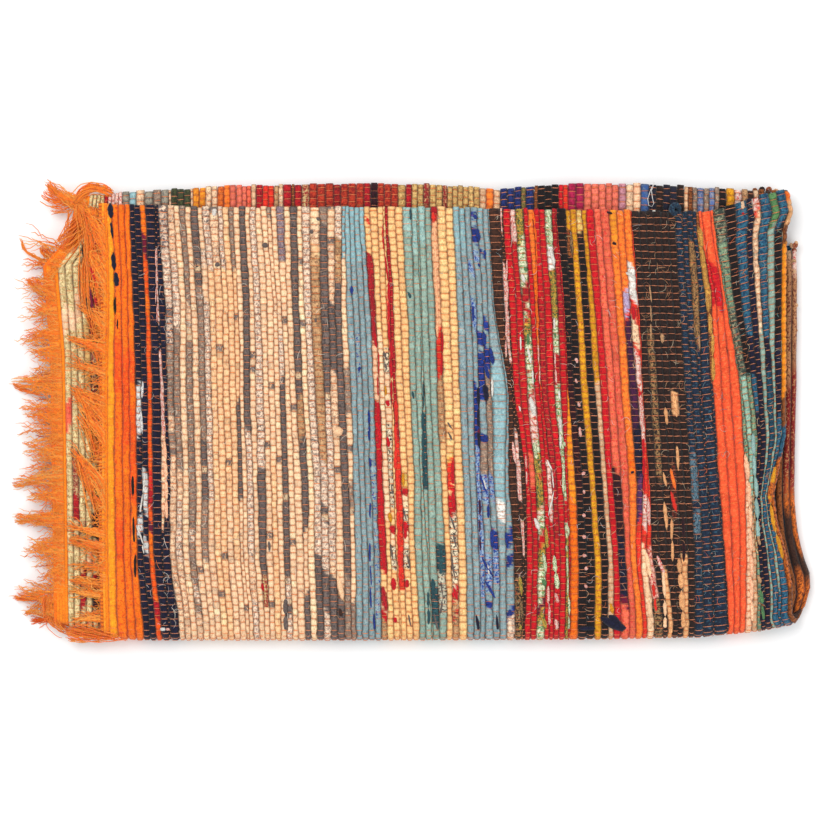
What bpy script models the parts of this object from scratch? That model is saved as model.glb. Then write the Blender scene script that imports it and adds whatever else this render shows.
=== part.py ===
"""Rag rug folded in quarters: one woven cloth in four layers, and a fringe of warp ends at each end.

All sizes are in millimetres and are turned into metres when a mesh is written. X runs along the
warps, Y along the rag ribs and Z up. The cloth's two halves are named for their ends: half A lies
outermost, half B inside it. A place on the cloth is given by how far it lies along the warps, by its
height off the cloth's middle, and by its row: rows 0 to 1 are the upper side, 1 to 2 the bend at the
bottom and 2 to 3 the lower side.
"""
import math
from collections import namedtuple

import bmesh
import bpy

MM = 0.001

CLOTH = 5.5
LAYER_GAP = 1.3
RIB_RISE = 0.6
RIB_END = 1.2
SELVEDGE_THIN = 0.55

LAYER_STEP = CLOTH + LAYER_GAP
INNER = 0.5 * LAYER_STEP
OUTER = 1.5 * LAYER_STEP
BEND_MID = 0.5 * (INNER + OUTER)
BEND_RADIUS = 0.5 * (OUTER - INNER)
MID_HEIGHT = OUTER + 0.5 * CLOTH

BACKING_GAP = 0.5
BACKING_A_WIDE = 8.5
BACKING_B_WIDE = 15.0
BACKING_THICK = 3.0
LOCK_THICK = 2.2
LOCK_TIP_WIDE = 1.7
TIP_STEP = 3.3
LOCK_TIP_THICK = 1.2
LOCK_STEPS = 4
LOCK_HEIGHT_A = 21.75
FLOOR_CLEAR = 0.1

# The bands of rag ribs on half A: where each band ends along the warps at the top edge, at mid
# height and at the bottom bend, and how many ribs it has.
Band = namedtuple("Band", "name top middle bottom ribs")
BANDS = (
    Band("end", -324.5, -318.1, -309.6, 0),
    Band("orange", -300.0, -291.5, -284.1, 4),
    Band("navy", -270.3, -261.7, -250.0, 5),
    Band("beige", -71.3, -63.8, -59.6, 34),
    Band("light_blue", -52.1, -38.3, -33.0, 4),
    Band("cream_red", -11.7, -1.1, 7.4, 7),
    Band("sage", 19.2, 29.3, 36.2, 5),
    Band("cream", 44.3, 51.1, 59.3, 4),
    Band("blue_print", 81.9, 89.4, 110.7, 7),
    Band("brown", 96.3, 104.3, 121.3, 3),
    Band("red", 152.8, 164.9, 175.6, 10),
    Band("black_mustard", 185.1, 200.0, 212.8, 6),
    Band("red_orange", 236.2, 246.8, 259.6, 9),
    Band("black_brown", 279.8, 291.5, 300.0, 8),
    Band("navy_mottled", 306.4, 320.3, 335.2, 5),
    Band("orange_red", 319.2, 351.1, 358.6, 4),
    Band("teal", 375.6, 394.7, 405.5, 9),
    Band("edge", 409.0, 413.0, 424.0, 4),
)
MIDDLE_ROW = 0.46

# Bands that go round the right bend, and how many of their columns go on through every row.
BENT_BANDS = {"teal": 4, "edge": 1}
SMOOTH_BEND = Band("bend", 395.5, 392.3, 398.7, 0)
FOLLOW_FROM = 330.0

# The outline, as corner points of its lines.
Corner = namedtuple("Corner", "along across")
TOP_A = (
    Corner(-327.7, 221.3),
    Corner(-225.6, 217.1),
    Corner(-12.8, 217.1),
    Corner(200.0, 213.9),
    Corner(306.4, 211.7),
    Corner(340.0, 219.0),
    Corner(365.0, 227.7),
    Corner(396.9, 235.1),
)
TOP_B = (
    Corner(-400.0, 226.0),
    Corner(-350.1, 228.8),
    Corner(-321.3, 232.0),
    Corner(-278.8, 235.1),
    Corner(-183.0, 240.5),
    Corner(-71.3, 242.6),
    Corner(29.8, 241.5),
    Corner(93.6, 236.2),
    Corner(146.8, 241.5),
    Corner(242.6, 242.6),
    Corner(295.8, 239.4),
    Corner(365.0, 235.1),
)
BOTTOM = (
    Corner(-395.8, -228.8),
    Corner(-363.9, -237.3),
    Corner(-327.7, -241.5),
    Corner(-289.4, -244.7),
    Corner(-12.8, -244.7),
    Corner(200.0, -243.7),
    Corner(306.4, -241.5),
    Corner(370.3, -235.1),
    Corner(407.5, -227.7),
    Corner(425.6, -218.0),
)
BACK_TOP_A = 176.6
BACK_TOP_B = 171.3

# The right edge of the upper pair of layers and of the lower pair, and the line of end B: each
# gives the place along the warps at a height in the outline.
Edge = namedtuple("Edge", "across along")
RIGHT_UPPER = (
    Edge(-227.7, 405.4),
    Edge(-201.1, 406.4),
    Edge(-158.5, 399.0),
    Edge(-126.6, 390.5),
    Edge(-94.7, 386.2),
    Edge(-73.4, 390.5),
    Edge(-30.9, 399.0),
    Edge(118.1, 399.0),
    Edge(192.6, 400.1),
    Edge(212.0, 407.0),
    Edge(235.1, 402.2),
)
RIGHT_LOWER = (
    Edge(-235.1, 417.1),
    Edge(-222.4, 424.5),
    Edge(-206.4, 427.7),
    Edge(-190.5, 425.6),
    Edge(-169.2, 419.2),
    Edge(-137.3, 412.8),
    Edge(-94.7, 409.6),
    Edge(11.7, 411.8),
    Edge(118.1, 412.8),
    Edge(176.6, 412.8),
)
END_B = (
    Edge(-243.7, -366.0),
    Edge(-94.7, -368.1),
    Edge(64.9, -370.3),
    Edge(139.4, -376.7),
    Edge(169.2, -380.9),
    Edge(187.3, -372.4),
    Edge(208.5, -357.0),
    Edge(235.1, -346.0),
)
ROW_TOP, ROW_BEND = 235.0, -228.0

# Ribs of half B that show: past end A at the left, and above the top edge of half A.
STRIP_RIBS_FROM, STRIP_RIBS_TO = -332.0, 375.0
END_RIBS = 6
RIB_PITCH = 5.75

# Where the columns of points of the faces that nothing shows lie along the warps.
PLAIN_ALONG = (346.0, 325.0, 300.0, 225.0, 120.0, -20.0, -160.0, -290.0)

# Where the folded rug swells, as a share of its height, and how wide and tall the swelling is.
Swell = namedtuple("Swell", "along across wide tall share")
SWELLS = (
    Swell(0.0, -214.0, 700.0, 26.0, 0.14),
    Swell(384.0, 20.0, 34.0, 190.0, 0.15),
    Swell(372.0, -150.0, 40.0, 60.0, 0.06),
    Swell(-190.0, 70.0, 90.0, 120.0, 0.035),
    Swell(-60.0, -90.0, 70.0, 110.0, -0.03),
    Swell(95.0, 60.0, 30.0, 90.0, 0.04),
    Swell(250.0, 70.0, 60.0, 120.0, 0.03),
    Swell(190.0, -120.0, 60.0, 70.0, -0.025),
)

# The rows of points that make the cloth: the part of its thickness and of a full rib that stands in
# each, and whether each has a point for every rib and for every rib of the top strip.
Row = namedtuple("Row", "at thin rib every strip")
ROWS = (
    Row(0.0, SELVEDGE_THIN, 0.0, True, True),
    Row(0.007, 1.0, 1.0, True, True),
    Row(0.075, 1.0, 1.0, True, True),
    Row(0.17, 1.0, 1.0, True, False),
    Row(0.28, 1.0, 1.0, True, False),
    Row(0.40, 1.0, 1.0, True, False),
    Row(0.52, 1.0, 1.0, True, False),
    Row(0.64, 1.0, 1.0, True, False),
    Row(0.76, 1.0, 1.0, True, False),
    Row(0.88, 1.0, 1.0, True, False),
    Row(1.0, 1.0, 1.0, True, False),
    Row(1.2, 1.0, 1.0, True, False),
    Row(1.4, 1.0, 1.0, True, False),
    Row(1.6, 1.0, 0.9, True, False),
    Row(1.8, 1.0, 0.6, True, False),
    Row(2.0, 1.0, 0.0, False, False),
    Row(2.06, 1.0, 0.0, False, False),
    Row(2.14, 1.0, 0.0, False, False),
    Row(2.24, 1.0, 0.0, False, False),
    Row(2.5, 1.0, 0.0, False, False),
    Row(3.0, 1.0, 0.0, False, False),
)
SPARE_EVERY = 24

# Bunches of warp ends: the height in the outline where each starts and stops, its locks, and
# where their tips meet.
Bunch = namedtuple("Bunch", "start stop locks tip_along tip_across")
FRINGE_A = (
    Bunch(196.0, 160.0, 3, -352.0, 216.0),
    Bunch(156.0, 119.0, 3, -350.0, 178.0),
    Bunch(100.0, 82.0, 2, -357.0, 114.0),
    Bunch(75.5, 60.6, 2, -367.5, 77.0),
    Bunch(46.0, 33.0, 2, -367.5, 52.0),
    Bunch(16.0, -16.0, 3, -365.5, 26.0),
    Bunch(-20.0, -41.5, 2, -358.5, 9.5),
    Bunch(-73.4, -109.6, 3, -363.5, -39.4),
    Bunch(-126.6, -135.1, 2, -367.5, -122.0),
    Bunch(-139.4, -150.0, 2, -366.5, -136.0),
    Bunch(-160.7, -171.3, 1, -365.5, -164.9),
    Bunch(-175.6, -186.2, 1, -365.5, -179.8),
    Bunch(-190.5, -201.1, 2, -367.5, -191.0),
    Bunch(-214.0, -226.0, 2, -367.0, -222.0),
)
FRINGE_B = (
    Bunch(224.0, 205.0, 3, -391.6, 240.0),
    Bunch(202.0, 172.0, 3, -420.3, 189.4),
    Bunch(170.5, 152.5, 2, -415.0, 161.5),
    Bunch(143.0, 120.0, 2, -411.8, 139.0),
    Bunch(117.0, 93.0, 3, -408.6, 106.3),
    Bunch(90.0, 76.0, 2, -418.2, 79.8),
    Bunch(73.0, 45.0, 3, -410.7, 61.8),
    Bunch(42.0, 12.0, 4, -427.3, 29.8),
    Bunch(9.0, -20.0, 3, -412.8, -6.4),
    Bunch(-23.0, -52.0, 3, -415.0, -38.4),
    Bunch(-55.0, -82.0, 3, -426.8, -74.7),
    Bunch(-85.0, -100.0, 2, -409.6, -89.1),
    Bunch(-103.0, -126.0, 3, -425.6, -115.1),
    Bunch(-129.0, -157.0, 3, -412.8, -144.8),
    Bunch(-160.0, -188.0, 2, -395.8, -174.5),
    Bunch(-190.0, -207.0, 3, -428.9, -195.9),
    Bunch(-208.0, -216.5, 1, -411.8, -212.9),
)
BEND_LOCKS = (1.3, 1.7)
LOWER_LOCKS_A, LOWER_LOCKS_B = 14, 22
LOWER_LENGTH_A, LOWER_LENGTH_B = 34.0, 36.0

RUG_COLOUR = (0.48, 0.30, 0.18, 1.0)
FRINGE_COLOUR = (0.85, 0.24, 0.03, 1.0)


def clear_scene():
    for thing in list(bpy.data.objects):
        bpy.data.objects.remove(thing, do_unlink=True)


def jitter(number):
    """A steady uneven value between -1 and 1 for a rib's or lock's number."""
    return math.sin(number * 12.9898) * math.cos(number * 4.1414 + 1.0)


def read_line(corners, value):
    """The second column of a table of points at a value of its first column."""
    if value <= corners[0][0]:
        return corners[0][1]
    for low, high in zip(corners, corners[1:]):
        if value <= high[0]:
            share = (value - low[0]) / (high[0] - low[0])
            return low[1] + share * (high[1] - low[1])
    return corners[-1][1]


def swell(x, y):
    share = 1.0
    for part in SWELLS:
        across = ((x - part.along) / part.wide) ** 2 + ((y - part.across) / part.tall) ** 2
        share += part.share * math.exp(-across)
    return share


def band_edge(band, at):
    """A band's edge along the warps at a row, by a curve through its three sizes."""
    t = min(at, 1.0)
    m = MIDDLE_ROW
    top = band.top * (t - m) * (t - 1.0) / m
    middle = band.middle * t * (t - 1.0) / (m * (m - 1.0))
    bottom = band.bottom * t * (t - m) / (1.0 - m)
    return top + middle + bottom


def end_b(at):
    """Where end B lies along the warps at a row."""
    if at <= 1.0:
        return read_line(END_B, ROW_TOP + (ROW_BEND - ROW_TOP) * at)
    return END_B[0].along


def along_rows(line, at):
    """A line's place at a row, straight between the rows that make the cloth."""
    for low, high in zip(ROWS, ROWS[1:]):
        if at <= high.at:
            share = (at - low.at) / (high.at - low.at)
            return line(low.at) + (line(high.at) - line(low.at)) * share
    return line(at)


def bend_centre(at):
    """Where the right bend's centre lies along the warps at a row."""
    upper = read_line(RIGHT_UPPER, ROW_TOP + (ROW_BEND - ROW_TOP) * min(at, 1.0))
    back = max(at - 2.0, 0.0)
    lower = read_line(RIGHT_LOWER, ROW_BEND + (BACK_TOP_A - ROW_BEND) * back)
    turn = min(max(at - 1.0, 0.0), 1.0)
    edge = upper + (lower - upper) * turn
    return edge - BEND_RADIUS - 0.5 * CLOTH - RIB_RISE


def follow_bend(run, at):
    """How far a rib near the right bend is drawn in or out with it."""
    if 1.0 <= at <= 2.0 or run <= FOLLOW_FROM:
        return 0.0
    smooth = band_edge(SMOOTH_BEND, at) if at < 1.0 else bend_centre(2.0)
    share = min((run - FOLLOW_FROM) / (SMOOTH_BEND.middle - FOLLOW_FROM), 1.0)
    return share * (bend_centre(at) - smooth)


def fold_along(run, rise, at):
    """Fold a run along the cloth round the right bend: its X, its height and how far it has turned."""
    centre = bend_centre(at)
    if run <= centre:
        return run, OUTER + rise, 0.0
    angle = (run - centre) / BEND_RADIUS
    if angle < math.pi:
        radius = BEND_RADIUS + rise
        return centre + radius * math.sin(angle), BEND_MID + radius * math.cos(angle), angle / math.pi
    return centre - (run - centre - math.pi * BEND_RADIUS), INNER - rise, 1.0


def run_on_b(x, at):
    """The run along the cloth whose fold lies at X on half B."""
    centre = bend_centre(at)
    return centre + math.pi * BEND_RADIUS + centre - x


def fold_across(x, height, at, turned, past=0.0):
    """Fold a place round the bottom bend. Past moves the cloth's long edge outward."""
    top = read_line(TOP_A, x) * (1.0 - turned) + read_line(TOP_B, x) * turned + past
    back = BACK_TOP_A * (1.0 - turned) + BACK_TOP_B * turned
    centre = read_line(BOTTOM, x) + MID_HEIGHT
    if at <= 1.0:
        y = top + (centre - top) * at
        z = MID_HEIGHT + height
    elif at < 2.0:
        angle = (at - 1.0) * math.pi
        y = centre - height * math.sin(angle)
        z = MID_HEIGHT + height * math.cos(angle)
    else:
        y = centre + (back - centre) * (at - 2.0)
        z = MID_HEIGHT - height
    return x, y, z * swell(x, y)


def row_at(x, y, turned):
    """The row of the upper side whose fold lies at X and Y."""
    top = read_line(TOP_A, x) * (1.0 - turned) + read_line(TOP_B, x) * turned
    centre = read_line(BOTTOM, x) + MID_HEIGHT
    return (top - y) / (top - centre)


# A column of points along the ribs: its order round the cloth, the face it lies on, how far its
# crest or valley stands out, how far its rib's end juts, whether it goes on through the rows that
# need few points, whether its rib shows in the top strip only, and where it runs.
Column = namedtuple("Column", "order face crest jut lasting strip run")


def far_end():
    """A run just past end B, where the order of the columns turns back along the other face."""
    return run_on_b(end_b(MIDDLE_ROW), MIDDLE_ROW) + 10.0


def outer_columns():
    """Ribs of half A and of the right bend, then the plain inner face of half B."""
    columns = []
    number = 0
    for before, band in zip(BANDS, BANDS[1:]):
        for step in range(2 * band.ribs):
            share = step / (2.0 * band.ribs)
            rib = number // 2
            crest = 1.0 + 0.3 * jitter(rib) if step % 2 else -1.0
            jut = RIB_END * (0.5 + 0.5 * jitter(rib + 40)) if step % 2 else 0.0

            def run(at, before=before, band=band, share=share, rib=rib):
                low = band_edge(before, at)
                high = band_edge(band, at)
                sway = 0.5 * math.sin(5.0 * at + rib) * min(1.0, 4.0 * at)
                straight = low + (high - low) * share + (sway if share else 0.0)
                return straight + follow_bend(straight, at)

            bent = band.name in BENT_BANDS and step % BENT_BANDS[band.name] == 0
            lasting = bent or number % SPARE_EVERY == 0
            if number == 0:
                crest = 0.0
            columns.append(Column(run(MIDDLE_ROW), 1, crest, jut, lasting, False, run))
            number += 1
    for x in PLAIN_ALONG:
        columns.append(plain_column(x))
    columns.append(Column(run_on_b(end_b(MIDDLE_ROW), MIDDLE_ROW), 1, 0.0, 0.0, True, False,
                          lambda at: run_on_b(end_b(at), at)))
    return columns


def plain_column(x):
    """A column of half B's lower face, which nothing shows, at a fixed X."""
    return Column(run_on_b(x, MIDDLE_ROW), 1, 0.0, 0.0, True, False, lambda at: run_on_b(x, at))


def inner_columns(half_turn):
    """Half B's upper face, with its ribs, then the inside of the bend and half A's lower face."""
    columns = []
    for step in range(2 * END_RIBS):
        share = step / (2.0 * END_RIBS)
        crest = (1.5 + 0.4 * jitter(step)) if step % 2 else -1.0
        if step == 0:
            crest = 0.0

        def run(at, share=share):
            x = end_b(at)
            return run_on_b(x + (STRIP_RIBS_FROM - x) * share, at)

        order = 2.0 * half_turn - run(MIDDLE_ROW)
        columns.append(Column(order, -1, crest, 0.0, True, False, run))
    count = int(round((STRIP_RIBS_TO - STRIP_RIBS_FROM) / RIB_PITCH)) * 2
    for step in range(count + 1):
        x = STRIP_RIBS_FROM + (STRIP_RIBS_TO - STRIP_RIBS_FROM) * step / count
        crest = 1.0 + 0.3 * jitter(step // 2 + 7) if step % 2 else -1.0
        jut = RIB_END * (0.5 + 0.5 * jitter(step // 2 + 90)) if step % 2 else 0.0
        order = 2.0 * half_turn - run_on_b(x, MIDDLE_ROW)
        near_bend = x > PLAIN_ALONG[2] and (count - step) % 6 == 0
        lasting = near_bend or step % SPARE_EVERY == 0
        columns.append(
            Column(order, -1, crest, jut, lasting, True, lambda at, x=x: run_on_b(x, at))
        )
    for turn in (1.0, 0.67, 0.33, 0.0):

        def run_bend(at, turn=turn):
            return bend_centre(at) + turn * math.pi * BEND_RADIUS

        columns.append(
            Column(2.0 * half_turn - run_bend(MIDDLE_ROW), -1, 0.0, 0.0, True, False, run_bend)
        )
    for x in (380.0, 363.0) + PLAIN_ALONG:
        columns.append(Column(2.0 * half_turn - x, -1, 0.0, 0.0, True, False, lambda at, x=x: x))
    end = BANDS[0]
    columns.append(Column(2.0 * half_turn - band_edge(end, MIDDLE_ROW), -1, 0.0, 0.0, True, False,
                          lambda at: band_edge(end, at)))
    return columns


def cloth_point(column, row):
    run = column.run(row.at)
    _, _, turned = fold_along(run, 0.0, row.at)
    crest = column.crest * row.rib
    if column.face > 0 and turned > 0.6:
        crest = 0.0
    if column.strip and not row.strip:
        crest = 0.0
    rise = column.face * (0.5 * CLOTH * row.thin + RIB_RISE * crest)
    x, height, turned = fold_along(run, rise, row.at)
    past = column.jut if row.at < 0.001 else 0.0
    return fold_across(x, height, row.at, turned, past)


def zip_rows(bm, first, second):
    """Join two lines of ordered points by quads where both have a point, else by triangles."""
    i = 0
    j = 0
    while i < len(first) - 1 or j < len(second) - 1:
        next_first = first[i + 1][0] if i < len(first) - 1 else math.inf
        next_second = second[j + 1][0] if j < len(second) - 1 else math.inf
        if abs(next_first - next_second) < 1e-6:
            bm.faces.new((first[i][1], first[i + 1][1], second[j + 1][1], second[j][1]))
            i += 1
            j += 1
        elif next_first < next_second:
            bm.faces.new((first[i][1], first[i + 1][1], second[j][1]))
            i += 1
        else:
            bm.faces.new((first[i][1], second[j + 1][1], second[j][1]))
            j += 1


def cloth_mesh():
    bm = bmesh.new()
    half_turn = far_end()
    columns = outer_columns() + inner_columns(half_turn)
    columns.sort(key=lambda column: column.order)
    rings = []
    for row in ROWS:
        ring = []
        for column in columns:
            needed = row.every and (row.strip or not column.strip)
            if needed or column.lasting:
                vert = bm.verts.new(cloth_point(column, row))
                ring.append((column.order, vert, column.face, column.run(row.at)))
        rings.append(ring)
    for ring, following in zip(rings, rings[1:]):
        zip_rows(bm, ring, following)
        bm.faces.new((ring[-1][1], ring[0][1], following[0][1], following[-1][1]))
    for ring in (rings[0], rings[-1]):
        outer = [(run, vert) for order, vert, face, run in ring if face > 0]
        inner = [(run, vert) for order, vert, face, run in reversed(ring) if face < 0]
        zip_rows(bm, outer, inner)
    return bm


def finish(bm, name, colour):
    bmesh.ops.recalc_face_normals(bm, faces=bm.faces)
    bmesh.ops.triangulate(bm, faces=bm.faces, quad_method="SHORT_EDGE")
    for face in bm.faces:
        face.smooth = True
    mesh = bpy.data.meshes.new(name)
    bm.to_mesh(mesh)
    bm.free()
    thing = bpy.data.objects.new(name, mesh)
    bpy.context.collection.objects.link(thing)
    material = bpy.data.materials.new(name)
    material.use_nodes = True
    shader = material.node_tree.nodes["Principled BSDF"]
    shader.inputs["Base Color"].default_value = colour
    shader.inputs["Roughness"].default_value = 0.9
    mesh.materials.append(material)
    return thing


# A lock of a fringe: the rows where its root starts and stops, the points its middle runs
# through, the widths and thicknesses there, and the side that its face looks to.
Lock = namedtuple("Lock", "start stop middles wides thicks side")


def lock_sizes(root_wide):
    wides = []
    thicks = []
    for step in range(1, LOCK_STEPS + 1):
        share = step / LOCK_STEPS
        wides.append(root_wide + (LOCK_TIP_WIDE - root_wide) * share ** 0.8)
        thicks.append(LOCK_THICK + (LOCK_TIP_THICK - LOCK_THICK) * share)
    return wides, thicks


def keep_apart(wides, middles, root, pitch):
    """Widths small enough that the locks of a bunch, drawn to one side, don't meet."""
    kept = []
    before = root
    for step, (wide, middle) in enumerate(zip(wides, middles)):
        share = (step + 1) / LOCK_STEPS
        space = pitch + (TIP_STEP - pitch) * share
        lead = math.hypot(middle[0] - before[0], middle[1] - before[1])
        kept.append(min(wide, 0.7 * space * abs(middle[0] - before[0]) / lead))
        before = middle
    return kept


def upper_locks(bunches, root_along, height_at, turned, wave):
    """Locks on the upper side, drawn together to the tip of their bunch."""
    locks = []
    number = 0
    for bunch in bunches:
        pitch = (bunch.start - bunch.stop) / bunch.locks
        for index in range(bunch.locks):
            root_y = bunch.start - pitch * (index + 0.5)
            root_x = root_along(row_at(root_along(0.5), root_y, turned))
            half = 0.5 * min(0.8 * pitch, 8.0)
            spread = (0.5 * (bunch.locks - 1) - index) * TIP_STEP
            reach = 1.0 - 0.14 * abs(jitter(number))
            tip_y = bunch.tip_across + spread
            middles = []
            for step in range(1, LOCK_STEPS + 1):
                share = reach * step / LOCK_STEPS
                x = root_x + (bunch.tip_along - root_x) * share
                ease = share * share * (3.0 - 2.0 * share)
                y = root_y + (tip_y - root_y) * (0.5 * share + 0.5 * ease)
                y += wave * math.sin(9.0 * share + bunch.start) * share
                middles.append((x, y, height_at(root_x, x) * swell(x, y)))
            wides, thicks = lock_sizes(2.0 * half)
            wides = keep_apart(wides, middles, (root_x, root_y), pitch)
            start = row_at(root_x, root_y + half, turned)
            stop = row_at(root_x, root_y - half, turned)
            locks.append(Lock(start, stop, middles, wides, thicks, 1))
            number += 1
    return locks


def bend_locks(root_along, height):
    locks = []
    for at in BEND_LOCKS:
        middles = []
        for step in range(1, LOCK_STEPS + 1):
            x = root_along(at) - 32.0 * step / LOCK_STEPS
            turned = 0.0 if height > BEND_MID else 1.0
            middles.append(fold_across(x, height, at, turned))
        wides, thicks = lock_sizes(5.0)
        locks.append(Lock(at - 0.09, at + 0.09, middles, wides, thicks, 0))
    return locks


def lower_locks(root_along, count, length, height_at):
    """Locks of the lower side, lying toward the floor."""
    locks = []
    for index in range(count):
        at = 2.06 + 0.9 * (index + 0.5) / count
        root_x = root_along(at)
        root_y = fold_across(root_x, 0.0, at, 0.0)[1]
        reach = length * (0.8 + 0.2 * jitter(index + 3))
        lean = 4.0 * jitter(0.35 * index)
        middles = []
        for step in range(1, LOCK_STEPS + 1):
            share = step / LOCK_STEPS
            x = root_x - reach * share
            y = root_y + lean * share + 1.2 * math.sin(6.0 * share + index) * share
            middles.append((x, y, height_at(root_x, x) * swell(x, y)))
        wides, thicks = lock_sizes(7.0)
        locks.append(Lock(at - 0.0088, at + 0.0088, middles, wides, thicks, -1))
    return locks


def backing_rows(locks):
    """Where the backing has points: at its ends, at every lock and at the cloth's own rows between."""
    rows = [0.004, 2.996]
    for lock in locks:
        rows += [lock.start, lock.stop]
    for row in ROWS[1:-1]:
        clear = all(row.at < lock.start - 0.002 or row.at > lock.stop + 0.002 for lock in locks)
        if clear:
            rows.append(row.at)
    return sorted(rows)


def fringe_mesh(end_along, wide, height, turned, locks):
    """The backing strip along an end of the cloth, and its locks drawn out of the strip's edge."""
    bm = bmesh.new()
    starts = {lock.start: lock for lock in locks}
    rings = []
    for at in backing_rows(locks):
        ring = []
        for reach, side in ((BACKING_GAP, 1), (wide, 1), (wide, -1), (BACKING_GAP, -1)):
            x = end_along(at) - reach
            rise = height + side * 0.5 * BACKING_THICK
            ring.append(bm.verts.new(fold_across(x, rise, at, turned)))
        rings.append((at, ring))
    for (at, ring), (_, following) in zip(rings, rings[1:]):
        for corner in range(4):
            other = (corner + 1) % 4
            if corner == 1 and at in starts:
                draw_lock(bm, (ring[1], following[1], following[2], ring[2]), starts[at])
            else:
                bm.faces.new((ring[corner], ring[other], following[other], following[corner]))
    bm.faces.new(rings[0][1])
    bm.faces.new(rings[-1][1])
    return bm


def draw_lock(bm, root, lock):
    """Carry a root's four corners along the lock's middle and close its tip."""
    edge = list(root)
    before = [sum(vert.co[axis] for vert in root) / 4.0 for axis in range(3)]
    for step, (middle, wide, thick) in enumerate(zip(lock.middles, lock.wides, lock.thicks)):
        after = lock.middles[min(step + 1, LOCK_STEPS - 1)]
        back = before if step < LOCK_STEPS - 1 else lock.middles[step - 1]
        lead = [after[axis] - back[axis] for axis in range(3)]
        size = math.hypot(lead[0], lead[1])
        if lock.side:
            across = (-lock.side * lead[1] / size, lock.side * lead[0] / size, 0.0)
            up = (0.0, 0.0, float(lock.side))
        else:
            across = [root[1].co[axis] - root[0].co[axis] for axis in range(3)]
            span = math.sqrt(sum(value * value for value in across))
            across = [value / span for value in across]
            up = [root[0].co[axis] - root[3].co[axis] for axis in range(3)]
            span = math.sqrt(sum(value * value for value in up))
            up = [value / span for value in up]
        ring = []
        for u, v in ((-0.5, 0.5), (0.5, 0.5), (0.5, -0.5), (-0.5, -0.5)):
            place = [
                middle[axis] + u * wide * across[axis] + v * thick * up[axis] for axis in range(3)
            ]
            ring.append(bm.verts.new(place))
        for corner in range(4):
            other = (corner + 1) % 4
            bm.faces.new((edge[corner], edge[other], ring[other], ring[corner]))
        edge = ring
        before = middle
    bm.faces.new(edge)


def backing_a(at):
    return along_rows(lambda row: band_edge(BANDS[0], row), at)


def backing_b(at):
    return along_rows(end_b, at)


def root_a(at):
    return backing_a(at) - BACKING_A_WIDE


def root_b(at):
    return backing_b(at) - BACKING_B_WIDE


def height_upper_a(root_x, x):
    share = min((root_x - x) / 12.0, 1.0)
    return MID_HEIGHT + OUTER + (LOCK_HEIGHT_A - MID_HEIGHT - OUTER) * share


def height_upper_b(root_x, x):
    share = min(max((root_x - x) / 40.0, 0.0), 1.3)
    return MID_HEIGHT + INNER - 8.5 * share


def height_lower_a(root_x, x):
    rest = 0.5 * LOCK_THICK + FLOOR_CLEAR
    share = min((root_x - x) / 12.0, 1.0)
    return (MID_HEIGHT - OUTER) + (rest - MID_HEIGHT + OUTER) * share


def height_lower_b(root_x, x):
    rest = 0.5 * LOCK_THICK + FLOOR_CLEAR
    share = min((root_x - x) / 22.0, 1.0)
    return (MID_HEIGHT - INNER) + (rest - MID_HEIGHT + INNER) * share


def centre_and_scale(things):
    """Move everything over the origin, resting on the floor, and write it in metres."""
    points = [vert.co for thing in things for vert in thing.data.vertices]
    low = [min(point[axis] for point in points) for axis in range(3)]
    high = [max(point[axis] for point in points) for axis in range(3)]
    shift = (0.5 * (low[0] + high[0]), 0.5 * (low[1] + high[1]), low[2])
    for thing in things:
        for vert in thing.data.vertices:
            vert.co = [(vert.co[axis] - shift[axis]) * MM for axis in range(3)]


def build():
    clear_scene()
    rug = finish(cloth_mesh(), "rug", RUG_COLOUR)
    locks = upper_locks(FRINGE_A, root_a, height_upper_a, 0.0, 0.6)
    locks += bend_locks(root_a, OUTER)
    locks += lower_locks(root_a, LOWER_LOCKS_A, LOWER_LENGTH_A, height_lower_a)
    bm = fringe_mesh(backing_a, BACKING_A_WIDE, OUTER, 0.0, locks)
    upper = finish(bm, "fringe_a", FRINGE_COLOUR)
    locks = upper_locks(FRINGE_B, root_b, height_upper_b, 1.0, 1.0)
    locks += bend_locks(root_b, INNER)
    locks += lower_locks(root_b, LOWER_LOCKS_B, LOWER_LENGTH_B, height_lower_b)
    bm = fringe_mesh(backing_b, BACKING_B_WIDE, INNER, 1.0, locks)
    lower = finish(bm, "fringe_b", FRINGE_COLOUR)
    centre_and_scale((rug, upper, lower))


build()
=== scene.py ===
"""A handwoven rag rug folded in quarters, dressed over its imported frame.

The sections follow the rug as it is woven and folded: the ribs of its outer half, the ribs of its
inner half, the warps, the woven headers, the loose fringe, the shed fibres, the slivers and knots
of rag, then the floor, the light and the camera.
Sizes in the tables are millimetres; X runs along the warps and Y along the ribs.
"""
import math

import bmesh
import bpy
import numpy as np
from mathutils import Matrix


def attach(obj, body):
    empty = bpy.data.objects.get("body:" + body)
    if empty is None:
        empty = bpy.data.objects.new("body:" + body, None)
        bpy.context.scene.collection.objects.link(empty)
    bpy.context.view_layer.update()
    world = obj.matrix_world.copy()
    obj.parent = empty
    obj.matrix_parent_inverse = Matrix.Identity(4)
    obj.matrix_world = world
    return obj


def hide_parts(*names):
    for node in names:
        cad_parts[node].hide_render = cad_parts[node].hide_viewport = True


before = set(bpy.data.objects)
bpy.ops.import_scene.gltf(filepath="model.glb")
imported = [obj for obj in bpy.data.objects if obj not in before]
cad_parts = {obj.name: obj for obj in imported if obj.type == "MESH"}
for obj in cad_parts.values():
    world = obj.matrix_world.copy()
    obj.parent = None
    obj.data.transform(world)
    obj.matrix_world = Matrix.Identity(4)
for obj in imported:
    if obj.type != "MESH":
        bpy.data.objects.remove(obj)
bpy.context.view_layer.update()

# ---------------------------------------------------------------------------------------------
# The ribs of the outer half: strips of cotton rag, each beaten down against the last. The half
# lies uppermost, turns under at the bottom bend and comes back beneath the whole pile.
CLOTH = 5.5
INNER, OUTER, BEND_MID, BEND_RADIUS = 3.4, 10.2, 6.8, 3.4
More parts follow.
